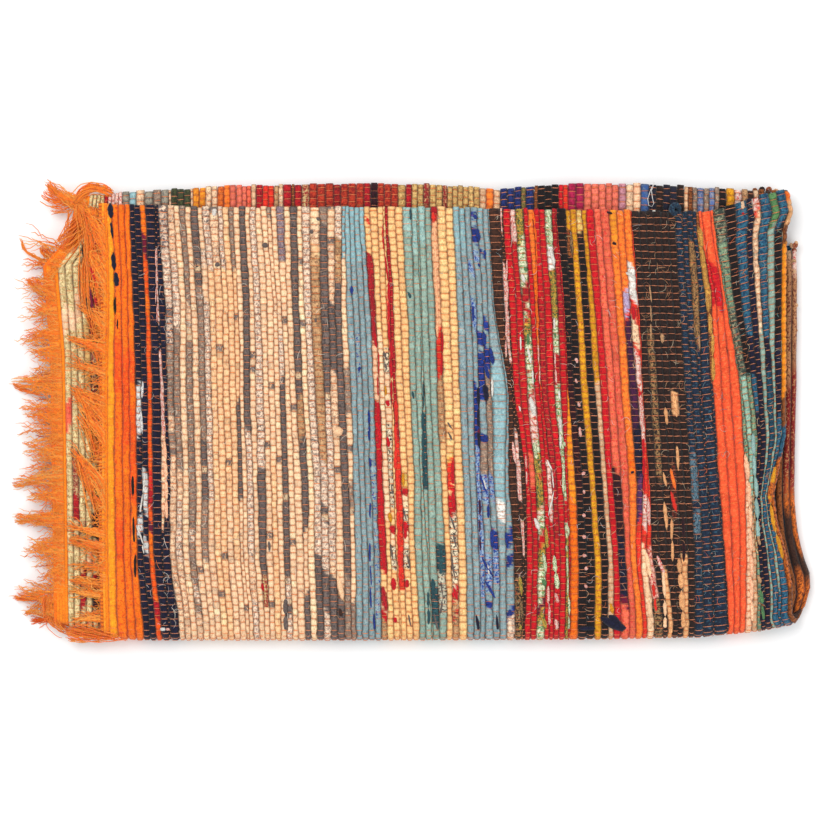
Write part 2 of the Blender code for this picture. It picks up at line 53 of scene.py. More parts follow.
MID_HEIGHT = OUTER + 0.5 * CLOTH
# PLACE brings the tables' own middle to the middle of the frame.
PLACE = np.array((0.1031, 0.1756, 0.0))
# A rib has 61 pinches down the upper side, which starts at TOP_EDGE. FRONT_LENGTH is its length
# there, BEND_LENGTH its length round the bottom bend and UNDER_LENGTH that on the underside. It
# stands RIB_RISE off the middle of its layer.
BEADS = 61
TOP_EDGE, FRONT_LENGTH, BEND_LENGTH, UNDER_LENGTH = 217, 449, 35, 408
RIB_RISE = 2.9

# The edges of the folded cloth: the top and bottom ones give Y for a place along X, the right
# ones and the end of the inner half give X for a place along Y.
TOP_A = np.array(((-327.7, 221.3), (-225.6, 217.1), (-12.8, 217.1), (200, 213.9), (306.4, 211.7),
                  (340, 219), (365, 227.7), (396.9, 235.1)))
TOP_B = np.array(((-400, 226), (-350.1, 228.8), (-321.3, 232), (-278.8, 235.1), (-183, 240.5),
                  (-71.3, 242.6), (29.8, 241.5), (93.6, 236.2), (146.8, 241.5), (242.6, 242.6),
                  (295.8, 239.4), (365, 235.1)))
BOTTOM = np.array(((-395.8, -228.8), (-363.9, -237.3), (-327.7, -241.5), (-289.4, -244.7),
                   (-12.8, -244.7), (200, -243.7), (306.4, -241.5), (370.3, -235.1),
                   (407.5, -227.7), (425.6, -218)))
RIGHT_UPPER = np.array(((-227.7, 405.4), (-201.1, 406.4), (-158.5, 399), (-126.6, 390.5),
                        (-94.7, 386.2), (-73.4, 390.5), (-30.9, 399), (118.1, 399),
                        (192.6, 400.1), (212, 407), (235.1, 402.2)))
RIGHT_LOWER = np.array(((-235.1, 417.1), (-222.4, 424.5), (-206.4, 427.7), (-190.5, 425.6),
                        (-169.2, 419.2), (-137.3, 412.8), (-94.7, 409.6), (11.7, 411.8),
                        (118.1, 412.8), (176.6, 412.8)))
END_B = np.array(((-243.7, -366), (-94.7, -368.1), (64.9, -370.3), (139.4, -376.7),
                  (160, -378), (173, -367), (187.3, -354), (208.5, -347), (235.1, -343)))
# How far up the underside goes, of the outer and of the inner half.
BACK_A, BACK_B = 176.6, 171.3
# Where the pile swells or sinks: a middle, a reach along X and along Y, and by what share.
SWELLS = ((0, -214, 700, 26, 0.14), (384, 20, 34, 190, 0.15), (372, -150, 40, 60, 0.06),
          (-190, 70, 90, 120, 0.035), (-60, -90, 70, 110, -0.03), (95, 60, 30, 90, 0.04),
          (250, 70, 60, 120, 0.03), (190, -120, 60, 70, -0.025))


def read_line(line, where):
    return np.interp(where, line[:, 0], line[:, 1])


def side_y(at):
    """The place in the tables of the right and left edges of a row of the upper side."""
    return 235 - 463 * np.minimum(at, 1)


def bend_centre(at):
    """Where the bend at the right starts, along the warps."""
    upper = read_line(RIGHT_UPPER, side_y(at))
    lower = read_line(RIGHT_LOWER, -228 + (BACK_A + 228) * np.maximum(at - 2, 0))
    return upper + (lower - upper) * np.clip(at - 1, 0, 1) - 6.75


def end_b(at):
    """Where the weaving of the inner half ends at the left."""
    return read_line(END_B, side_y(at))


def in_frame(x, y, z):
    """Points in the tables' millimetres, as metres in the frame."""
    return (np.stack((x, y, z), -1) + PLACE) * 0.001


def fold(run, rise, at, past=0.0):
    """Points of the folded cloth, in metres, from how far along the warps, how far off the
    cloth's middle and which row: 0 to 1 upper side, 1 to 2 bottom bend, 2 to 3 underside."""
    centre = bend_centre(at)
    angle = np.clip((run - centre) / BEND_RADIUS, 0, math.pi)
    radius = BEND_RADIUS + rise
    beyond = np.maximum(run - centre - math.pi * BEND_RADIUS, 0)
    x = np.minimum(run, centre) + radius * np.sin(angle) - beyond
    height = BEND_MID + radius * np.cos(angle)
    turned = angle / math.pi
    top = read_line(TOP_A, x) * (1 - turned) + read_line(TOP_B, x) * turned + past
    back = BACK_A * (1 - turned) + BACK_B * turned + past
    middle = read_line(BOTTOM, x) + MID_HEIGHT
    swing = np.clip(at - 1, 0, 1) * math.pi
    y = middle + (top - middle) * np.maximum(1 - at, 0) + (back - middle) * np.maximum(at - 2, 0)
    y = y - height * np.sin(swing)
    z = MID_HEIGHT + height * np.cos(swing)
    lift = 1.0
    for along, across, wide, tall, share in SWELLS:
        lift = lift + share * np.exp(-(((x - along) / wide) ** 2 + ((y - across) / tall) ** 2))
    return in_frame(x, y, z * lift)


# Where each run of like rags ends, from the header to the bend, at six rows of the upper side.
ROWS = np.array((9, 99, 195, 290, 376, 445)) / FRONT_LENGTH
BANDS = {
    "end": (-324.5, -322.4, -324.2, -324.1, -324.1, -321.9),
    "orange": (-300.8, -296.1, -293.7, -292.8, -291.7, -285.4),
    "navy": (-270.6, -262.5, -260.7, -257.3, -257.7, -246.8),
    "beige": (-71.3, -69.8, -64.6, -62.7, -59.6, -59.1),
    "sky": (-51.4, -45.3, -40.5, -37.7, -34.2, -32.6),
    "butter": (-10.3, -5.3, -1.8, 2.6, 3.4, 8.0),
    "sage": (19.5, 23.7, 27.0, 30.9, 36.0, 37.0),
    "cream": (43.6, 48.2, 50.4, 54.8, 57.9, 58.8),
    "delft": (81.3, 86.8, 102.6, 102.7, 109.3, 109.3),
    "coffee": (96.0, 103.2, 108.3, 120.8, 122.8, 119.8),
    "red": (153.3, 162.0, 166.3, 173.8, 177.7, 176.6),
    "mustard": (184.9, 193.5, 201.1, 206.8, 213.9, 214.4),
    "tangerine": (233.2, 240.9, 245.7, 252.2, 255.4, 268.1),
    "bark": (279.4, 285.0, 290.3, 296.2, 301.3, 300.3),
    "midnight": (304.5, 319.8, 319.5, 326.2, 332.6, 336.2),
    "flame": (319.6, 333.9, 348.9, 353.8, 356.2, 354.3),
}
# One line a rib, under the name of its band: its width at the six rows against its neighbours',
# the rag it starts with, and then how far down the rib, in millimetres, each next rag is laid in.
# An indented line goes on from the one above.
DRAFT = """
orange
7,7,7.2,7.2,7.5,8 marigold
8,8.5,7.8,7.8,8,9 orange 142 fire 200 orange 333 fire 376 orange
7.5,8,7,6.6,7,7.5 orange 157 fire 259 orange
6.5,6.5,6.5,6.3,6.6,7 orange 152 fire 189 orange 216 fire 317 orange
navy
5.2,5.5,5.7,6,5.7,6.3 navy 190 fluff 245 navy 329 fluff 350 navy
6,6,6.1,5.8,5.6,6 navy 283 fluff 327 navy 354 fluff 369 navy
6.2,4.5,4.6,5,4.8,5.7 orange 31 wine 52 fire 99 orange 115 fire 281 poppy 301 crimson 320 fire
  336 wine 346 orange 376 fire 412 orange 418 crimson 437 fire
10.5,7,8.4,9,8.6,7 navy
0.8,2.6,2.7,6.5,0.8,0.8 navy 46 rose 124 navy 154 rose 237 peach 345 navy
1.2,6.5,3.5,2.2,7.8,9 navy
beige
9,8,6.8,6.6,6,5.5 stripe 46 heather 104 stripe 147 taupe 207 taupe 223 oat 239 taupe 255 oat
6.5,7,6,6,6,6 oat 59 heather 131 taupe 280 oat 312 heather 376 oat
5.4,6,6,6.4,6,6 cream
5.2,5.2,6.2,6.6,6,6 taupe 105 oat 122 taupe 346 heather 355 taupe 401 heather 416 taupe 431 oat
5.6,5.6,6.6,6,6,6 cream
6.2,6.4,6,5.4,6,6 slate 83 taupe 222 taupe 248 slate 312 taupe 376 cream
5,6,5.6,6,6,6 cream 46 heather 59 cream 99 heather 248 heather 312 cream
6.5,6.2,5.6,6,6,6 heather 67 sand
8,7,6.4,6,6,6 oat 67 sand
4,5.5,6,6,6,6 heather 68 sand 312 cream
6,6,6.4,6,6,6 sand 376 cream
4.6,4,3.4,4.4,3,3 taupe 67 sand 205 slate 312 cream
5.3,5,4,4,4,4 cream
5.6,6.2,6,6,6,6 slate 237 heather 376 oat 418 heather
4.8,5,5.2,5,5,5 cream
5.4,6.4,7.4,8,6,5 heather 279 slate 392 wineflock 425 cream
5.8,6,5.4,5.5,5.5,5.5 cream
5.8,6,5.6,5.6,5.6,5.6 cream 269 sand
3.2,4,5.4,5.4,5.4,5.4 taupe 12 cream 248 cream
5,5,4.4,5.6,5.6,5.6 cream 131 heather 184 slate 397 heather 418 slate 434 heather
7.6,5,5.4,5.6,5.6,5.6 plumgrey 59 cream 290 cream
5.4,5.4,5.6,7,7,7 cream
6.6,6.6,6.6,6.6,4,5.4 slate 202 tan 246 slate 345 cream 410 slate
5,5,4.8,6,6,6 cream
7.4,7,7,6.6,6.6,6.6 heather 131 heather 370 slate
9.6,10,9,7,7,7 cream 18 oat 39 sand 48 tan 269 heather 317 slate 335 heather 388 slate 431 heather
7,7.4,6.6,6.6,6.6,6.6 taupe 18 slate 205 heather 376 oat 393 slate
8,6,7,7,7,7 cream 38 oat 102 slate 176 oat 235 cream 402 tan 418 slate
6.4,6.6,6.2,6.6,6.6,6.6 heather 35 tan 80 slate 248 slate 392 taupe
3,5.4,6.6,4.6,4.6,4.6 skybright 54 cream 171 taupe 221 cream 292 taupe 325 cream 418 taupe
sky
4,6,5.7,6,6.6,6 skybright 59 sky
5,6,5.2,5.6,6,6.2 skybright 59 sky 131 skyfleck 189 sky
5,6,5.8,6,5.6,6.4 skybright 59 sky 376 sky
4.6,5,5,6,5.6,6.2 skybright 44 sky 264 skyfleck 439 sky
butter
5.4,5.2,4.8,6.5,7,6 butter 13 poppy 16 butter 50 crimson 147 peach 207 red 388 butter 408 crimson
  425 peach 431 red 439 tan
5.8,5.6,5,5.5,5.2,6 butter 131 cream 333 butter
5.8,5.4,5,5.5,5.5,6 butter 151 print 177 cream 232 print 248 print 319 butter 340 red 348 cream
  360 print 386 butter
1,3,2,2,1.2,1 butter 99 coral 131 red 139 butter 204 red 213 butter
2,3,3,6,6,5 crimson 248 poppy 408 butter
6.5,6.8,6.4,6,6.5,6 butter 281 mustardpale 299 red 307 cream 319 print 335 red 346 cream 360
  print 386 butter
6.4,6.4,6.2,6.5,6,6 butter
sage
8.5,7.2,5.8,6.3,6.6,6.4 lagoonpale 27 sage
6,6.4,5.8,2.2,5.8,5.6 lagoonpale 48 sage
0.8,0.8,1.6,5,1,1 sage 219 petrol 300 sage
6.5,6.6,6.2,6.6,7.2,6.4 lagoonpale 41 sage 402 petrol 446 sage
5.6,6.4,6.6,7,8.6,7 sage 358 petrol 388 printgrey 432 sage
cream
6.6,6.2,5.4,6,5.8,5.6 crimson 16 salmonpale 131 poppy 182 tan 248 butter
8.4,8.2,8.8,7.4,7,6.6 butter 261 mustardpale 269 poppy 297 butter 301 red 326 print 405 red 417
  tan 431 red 436 tan
7.6,7.6,6,8.6,8,8 butter
delft
5.8,6.8,7,6.4,6,6 skybright 46 sky
5.8,6.6,6.4,6,6,5.8 skybright 46 sky
5.8,6,4.2,5.2,4.6,4.6 sky 59 delft 72 sky 99 delft 131 sky 190 royal 256 delft 418 sky
6.4,6,7.4,7.2,7.4,7.2 sky 5 royal 12 sky 21 royal 38 sky 48 delft 59 sky 132 royal 148 sky 154
  royal 206 sky 242 royal 252 taupe 284 delft 314 sky 371 delft 408 sky 420 royal 427 sky
6.2,5.6,5,5.6,6,6 skybright 19 sky 46 royal 52 sky 118 royal 130 sky 147 royal 170 taupe 248
  taupe 284 delft 312 sky 343 royal 364 delft 402 sky
4.6,5,15.5,11,6.4,6.2 sky 169 skybright 312 white 334 sky
0.8,0.8,1,3.6,7.6,7.4 sky 345 royal 361 sky 370 royal 382 sky 427 royal 437 heather
coffee
12,10,4,8,8,7 coffee 395 tweed
1.8,4.6,1,6,2,1 rose 27 coffee 59 rose 165 coffee 237 rose 312 coffee 332 rose 370 coffee 418 tweed
0.6,0.8,0.6,3.6,2.4,2 coffee
red
8,6.6,5.8,5.6,6.4,6.4 red
4.6,6.2,6.8,6,6.4,6.4 rose 34 red 261 coral 297 red
9,7.4,7.6,9,8.6,9 brocade 33 posy 81 crimson 104 posy 112 red 120 brocade 139 posy 167 crimson
  171 posy 195 crimson 200 rose 248 posy 265 brocade 288 red 292 brocade 319 rose 327 posy 346 red
  360 brocade 378 posy 418 wine 431 brocade 442 posy
4.4,4.6,4.4,5,5,5 red
6,2.8,1.8,5,5,5 tangerine 67 orange 189 red 269 rose 333 red
5.4,6.2,6,6,6,6 red 99 crimson 354 red
5.4,6.6,7.2,6.6,6.8,6.6 red 99 red
7.4,6,5.8,4,3.6,3.6 posy 40 white 64 brocade 118 posy 154 crimson 189 posy 261 posy 312 red 335
  posy 351 brocade
4,5.8,6,2,1.4,1.4 crimson 131 red
0.8,0.8,1.2,9,9.4,9.6 red 198 marigold 312 orange
mustard
10.4,6,5.6,7.2,8.6,8.4 black 152 wineblack 248 wineblack 312 black
5.2,6.6,6.6,7.4,8,8 mustard 20 tobacco 50 black
7,7,6.6,6.6,6.8,7 mustard
6,7,6.6,7,7,7 mustardpale 23 coffee 29 black
4.6,5.8,5.8,5,5.2,5.4 mustard 184 biscuit
tangerine
8.6,6.6,6.2,6.6,6.4,7 red
6.6,7,6.8,7.6,8,8 coral 248 coral 280 wineblack 349 navy 414 wine 425 coral
8.6,7.6,6.6,7,6.2,6 coral
7.6,7.6,7.8,7.6,6.6,6.6 mustardorange 35 tangerine 131 tangerine 256 orange 282 tangerine
7.4,6,7.6,6.8,4.6,4 tangerine 86 lilac 110 poppy 116 plum 232 navy 288 violet 331 poppy
7.6,8,5,4,7,7 tangerine 59 white 99 poppy 120 oat 147 poppy 154 rose 195 red 205 rose 248 poppy
  306 rose 344 poppy 363 cream
0.6,0.6,0.6,0.8,6.5,9 poppy 363 printrose 418 tweed
bark
7,6.8,6.4,7,7,5 bark
7,6.8,7,7,7,6 bark 131 tweed 290 bark 384 peachtan
7,6.8,6,6.6,7,6.4 bark
7,6.8,6.4,6.6,7,6.6 bark 276 barkrust 327 bark
7,6.8,7.6,6.8,7,7 bark 196 peachtan 220 bark 371 peachtan
7,6.8,6.4,6.8,7,7 bark
midnight
6.4,6.8,7,7,7.4,8 midnight 264 midnightpale 312 midnight 325 midnightpale 349 midnight
5,5.4,7.4,8,8.4,9 midnight
6,7,1.6,1,1,1 midnight 32 tweedtan 147 midnight
3.4,6.2,10,10,11,12 midnight
2.4,7,1.2,0.8,0.8,0.8 tobacco 16 mustardtan 105 tobacco 188 midnight
flame
2.4,3.4,9,9,8,6.4 flame 50 red 105 flame
9.4,6.4,9,9,7.4,6.4 flame 59 red 110 flame
2.2,3.4,9.6,8,7,6 flame
bend
0.4,0.4,0.4,7,7.4,7.4 lichen 280 peach
8,6,6.5,6.5,6.2,6.2 lichenblack 35 lichen 112 lichenblack 188 lichenpale 248 lichenpale 317 biscuit
7,6,4.4,4.4,4,4 black 188 lichen 312 tweedcream 376 lichen
8,8,4.4,5,5,5 lagoon 147 navy 188 lagoon 227 navy
3.4,4.6,5.4,6,6,6 navy 248 navy
5,4,4.6,3,3,3 rose 12 poppy 17 oat 142 sage 205 sage
7,6.4,5.4,6,7,7 lagoon 152 navy 188 lagoondark 290 lagoon 376 lagoon
5.4,6,3.2,3,3,3 grass 35 sage 418 lagoon
5.6,6,5.6,4.4,8,8 lagoon 36 black 152 navy 237 lagoon 290 lagoondark 354 lagoon
"""
# The two dyes of each rag, and how many hundredths of it the second one takes.
RAGS = {
    "marigold": (255, 145, 25, 255, 175, 40, 30), "orange": (250, 118, 20, 230, 80, 20, 30),
    "fire": (236, 80, 22, 250, 110, 25, 35), "navy": (25, 25, 50, 15, 15, 32, 40),
    "fluff": (225, 222, 215, 150, 150, 155, 35), "wine": (120, 20, 45, 80, 20, 60, 40),
    "poppy": (235, 55, 35, 200, 30, 30, 30), "crimson": (190, 30, 36, 135, 14, 30, 40),
    "rose": (238, 205, 190, 205, 70, 65, 34), "peach": (250, 200, 160, 240, 160, 120, 30),
    "stripe": (225, 192, 165, 110, 98, 98, 50), "heather": (172, 148, 132, 250, 218, 188, 55),
    "taupe": (140, 118, 104, 195, 165, 138, 34), "oat": (250, 206, 165, 185, 148, 122, 36),
    "cream": (252, 210, 168, 246, 190, 142, 26), "slate": (112, 98, 92, 76, 68, 68, 35),
    "butter": (255, 200, 136, 248, 182, 114, 28), "plumgrey": (125, 105, 115, 170, 150, 145, 40),
    "sand": (252, 202, 152, 242, 182, 128, 30), "wineflock": (150, 50, 45, 215, 185, 130, 44),
    "tan": (200, 155, 110, 150, 110, 80, 40), "skybright": (142, 180, 186, 165, 195, 192, 30),
    "sky": (146, 168, 170, 114, 140, 150, 30), "skyfleck": (146, 168, 170, 35, 60, 145, 30),
    "red": (208, 22, 32, 165, 12, 30, 30), "print": (235, 215, 180, 40, 35, 40, 38),
    "coral": (245, 110, 80, 225, 60, 50, 30), "mustardpale": (225, 180, 90, 245, 210, 140, 40),
    "sage": (150, 174, 158, 124, 152, 142, 30), "lagoonpale": (158, 190, 180, 122, 162, 160, 30),
    "petrol": (45, 85, 90, 30, 55, 65, 40), "printgrey": (200, 195, 170, 60, 60, 60, 40),
    "salmonpale": (250, 190, 140, 240, 150, 110, 30), "delft": (150, 175, 200, 40, 70, 150, 45),
    "royal": (35, 60, 145, 25, 35, 90, 40), "white": (240, 235, 225, 200, 190, 180, 30),
    "coffee": (70, 42, 30, 40, 25, 22, 40), "tweed": (150, 115, 75, 40, 30, 30, 50),
    "brocade": (200, 160, 60, 70, 90, 50, 50), "posy": (225, 225, 190, 110, 150, 90, 45),
    "tangerine": (255, 130, 45, 240, 90, 35, 30), "black": (26, 19, 21, 15, 12, 14, 30),
    "wineblack": (52, 16, 26, 25, 15, 18, 40), "mustard": (222, 155, 28, 190, 115, 20, 35),
    "tobacco": (150, 85, 40, 90, 45, 25, 40), "biscuit": (225, 180, 140, 200, 150, 110, 30),
    "lilac": (200, 180, 210, 170, 140, 180, 30), "mustardorange": (240, 150, 40, 225, 110, 30, 30),
    "plum": (70, 25, 60, 40, 20, 45, 40), "violet": (95, 50, 95, 60, 30, 70, 40),
    "printrose": (240, 180, 160, 190, 50, 50, 40), "bark": (46, 30, 26, 25, 18, 18, 40),
    "peachtan": (235, 175, 120, 210, 140, 90, 30), "barkrust": (120, 45, 30, 46, 30, 26, 50),
    "midnight": (25, 38, 58, 45, 80, 100, 25), "midnightpale": (100, 130, 145, 25, 40, 60, 40),
    "tweedtan": (170, 125, 75, 60, 45, 40, 40), "mustardtan": (210, 155, 70, 160, 105, 50, 35),
    "flame": (245, 85, 45, 255, 115, 65, 35), "lichen": (140, 165, 130, 70, 95, 85, 40),
    "lichenblack": (60, 70, 62, 150, 150, 120, 40),
    "lichenpale": (165, 200, 175, 120, 160, 145, 35),
    "tweedcream": (220, 190, 140, 60, 60, 60, 40), "lagoon": (50, 105, 130, 25, 60, 90, 45),
    "lagoondark": (30, 75, 95, 20, 40, 60, 40), "grass": (95, 140, 85, 60, 100, 70, 30),
    "tobaccoorange": (215, 110, 35, 120, 55, 25, 45), "brick": (130, 25, 25, 200, 140, 90, 30),
    "tobaccofleck": (190, 135, 90, 110, 45, 35, 40),
    "royalgrey": (90, 110, 160, 150, 150, 160, 40), "navybark": (30, 32, 48, 60, 45, 45, 15),
    "royaldull": (55, 90, 150, 90, 110, 140, 40), "mauve": (190, 130, 140, 160, 95, 110, 35),
    "salmon": (240, 120, 95, 215, 90, 75, 30), "magenta": (175, 30, 75, 140, 20, 55, 35),
    "navyroyal": (35, 50, 110, 20, 25, 60, 40), "olive": (130, 115, 60, 90, 75, 45, 40),
    "pear": (216, 176, 110, 168, 125, 72, 40), "redpear": (150, 40, 40, 205, 160, 110, 35),
    "rust": (190, 60, 35, 140, 30, 28, 40), "crimsonrust": (165, 35, 30, 120, 20, 28, 40),
    "rustorange": (225, 110, 40, 180, 70, 30, 35), "olivedark": (75, 80, 50, 45, 50, 35, 40),
    "greytan": (170, 160, 140, 120, 115, 110, 40), "pearlump": (240, 215, 158, 180, 150, 95, 40),
}


def linear(colour):
    """Colours of 0 to 255 as the shader's linear ones."""
    share = np.asarray(colour, float) / 255
    return np.where(share <= 0.04045, share / 12.92, ((share + 0.055) / 1.055) ** 2.4)


def smoothed(values, reach):
    """Values evened out over so many neighbours on each side."""
    weight = np.hanning(2 * reach + 1)
    return np.convolve(np.pad(values, reach, mode="edge"), weight / weight.sum(), "valid")


def eased(values, at):
    """A smooth line through a band's six measured places."""
    grid = np.linspace(0, 1, 121)
    return np.interp(np.clip(at, 0, 1), grid, smoothed(np.interp(grid, ROWS, values), 9))


def read_draft(text):
    """Band, widths and rags laid in for every rib of a draft; semicolons part ribs on one line."""
    ribs, band = [], None
    for line in text.replace("\n  ", " ").replace(";", "\n").split("\n"):
        words = line.split()
        if len(words) == 1:
            band = words[0]
        elif words:
            widths = [float(word) for word in words[0].split(",")]
            laid = [(0.0, words[1])]
            laid += [(float(words[i]), words[i + 1]) for i in range(2, len(words) - 1, 2)]
            ribs.append((band, widths, laid))
    return ribs


# In these runs the pinches of neighbouring ribs line up, where the weaver doubled a shed.
ALIGNED = ("bark",)
# How hard the warps pinch each run of ribs: thick soft strips hardly, thin cotton ones deeply.
FIRMNESS = {"orange": 0.22, "navy": 0.85, "beige": 0.85, "sky": 0.4, "butter": 0.9, "sage": 0.42,
            "cream": 0.9, "delft": 0.4, "coffee": 0.9, "red": 0.9, "mustard": 0.7,
            "tangerine": 0.55, "bark": 1.0, "midnight": 0.85, "flame": 0.28, "bend": 0.8,
            "turn": 0.7, "inner": 0.9, "left": 0.4}


def seams_a(at):
    """Where every seam between two ribs of the outer half runs, from the header to the bend."""
    seams, left = [], eased(BANDS["end"], at)
    seams.append(left)
    for band in list(BANDS)[1:] + ["bend"]:
        right = bend_centre(at) if band == "bend" else eased(BANDS[band], at)
        widths = np.array([eased(rib[1], at) for rib in RIBS_A if rib[0] == band])
        share = np.cumsum(widths, 0) / widths.sum(0)
        seams += list(left + (right - left) * share)
        left = right
    seams = np.array(seams)
    wander = np.random.default_rng(7)
    for wave, swing in ((1.7, 0.24), (3.1, 0.24), (5.3, 0.2), (11.3, 0.22), (19.7, 0.17)):
        phase = wander.uniform(0, 6.28, (len(seams), 1))
        reach = swing * wander.uniform(0.3, 1.6, (len(seams), 1))
        seams[1:-1] += (reach * np.sin(wave * 6.28 * at + phase))[1:-1]
    return seams


def soft_rods(name, count, sides, rings):
    """Closed rods side by side, each one a cylinder cut into rings, and each vertex's rod, ring
    and angle."""
    bm = bmesh.new()
    bmesh.ops.create_cone(bm, cap_ends=True, cap_tris=False, segments=sides,
                          radius1=1.0, radius2=1.0, depth=1.0)
    long_edges = [e for e in bm.edges if abs(e.verts[0].co.z - e.verts[1].co.z) > 0.5]
    bmesh.ops.subdivide_edges(bm, edges=long_edges, cuts=rings - 2)
    for face in bm.faces:
        face.smooth = True
    mesh = bpy.data.meshes.new(name)
    bm.to_mesh(mesh)
    bm.free()
    piece = bpy.data.objects.new(name, mesh)
    bpy.context.scene.collection.objects.link(piece)
    places = np.empty(3 * len(mesh.vertices))
    mesh.vertices.foreach_get("co", places)
    places = places.reshape(-1, 3)
    ring = np.rint((places[:, 2] + 0.5) * (rings - 1)).astype(int)
    angle = np.arctan2(places[:, 1], places[:, 0])
    rows = piece.modifiers.new("Rods", "ARRAY")
    rows.use_relative_offset = False
    rows.use_constant_offset = True
    rows.constant_offset_displace = (3.0, 0.0, 0.0)
    rows.count = count
    bpy.context.view_layer.update()
    graph = bpy.context.evaluated_depsgraph_get()
    piece.data = bpy.data.meshes.new_from_object(piece.evaluated_get(graph))
    piece.modifiers.clear()
    bpy.data.meshes.remove(mesh)
    piece.data.name = name
    rod = np.repeat(np.arange(count), len(ring))
    return piece, rod, np.tile(ring, count), np.tile(angle, count)


def put_points(piece, points):
    """Takes the vertices to their places, none below the floor, and turns the faces outwards."""
    points[..., 2] = np.maximum(points[..., 2], 0.00005)
    piece.data.vertices.foreach_set("co", np.ascontiguousarray(points, dtype=np.float32).ravel())
    bm = bmesh.new()
    bm.from_mesh(piece.data)
    bmesh.ops.recalc_face_normals(bm, faces=bm.faces)
    bm.to_mesh(piece.data)
    bm.free()
    piece.data.update()


def put_colour(piece, name, colours):
    layer = piece.data.attributes.new(name, "FLOAT_COLOR", "POINT")
    whole = np.ones((len(colours), 4), dtype=np.float32)
    whole[:, :3] = colours
    layer.data.foreach_set("color", whole.ravel())


def put_material(piece, material):
    piece.data.materials.clear()
    piece.data.materials.append(material)


def put_vector(piece, name, vectors):
    layer = piece.data.attributes.new(name, "FLOAT_VECTOR", "POINT")
    layer.data.foreach_set("vector", np.ascontiguousarray(vectors, dtype=np.float32).ravel())


RIBS_A = read_draft(DRAFT)
MOST_BEADS = 500
# What a pinch takes from a rib's height and width, and how far along it reaches, in beats.
PINCH_HEIGHT, PINCH_WIDTH, PINCH_REACH = 0.38, 0.10, 0.11
ODD_SHARE = 0.022
FRONT = np.arange(4 * BEADS) / (4 * BEADS)
AT_DENSE = np.concatenate((FRONT, 1 + np.arange(12) / 12, np.linspace(2, 3, 24)))


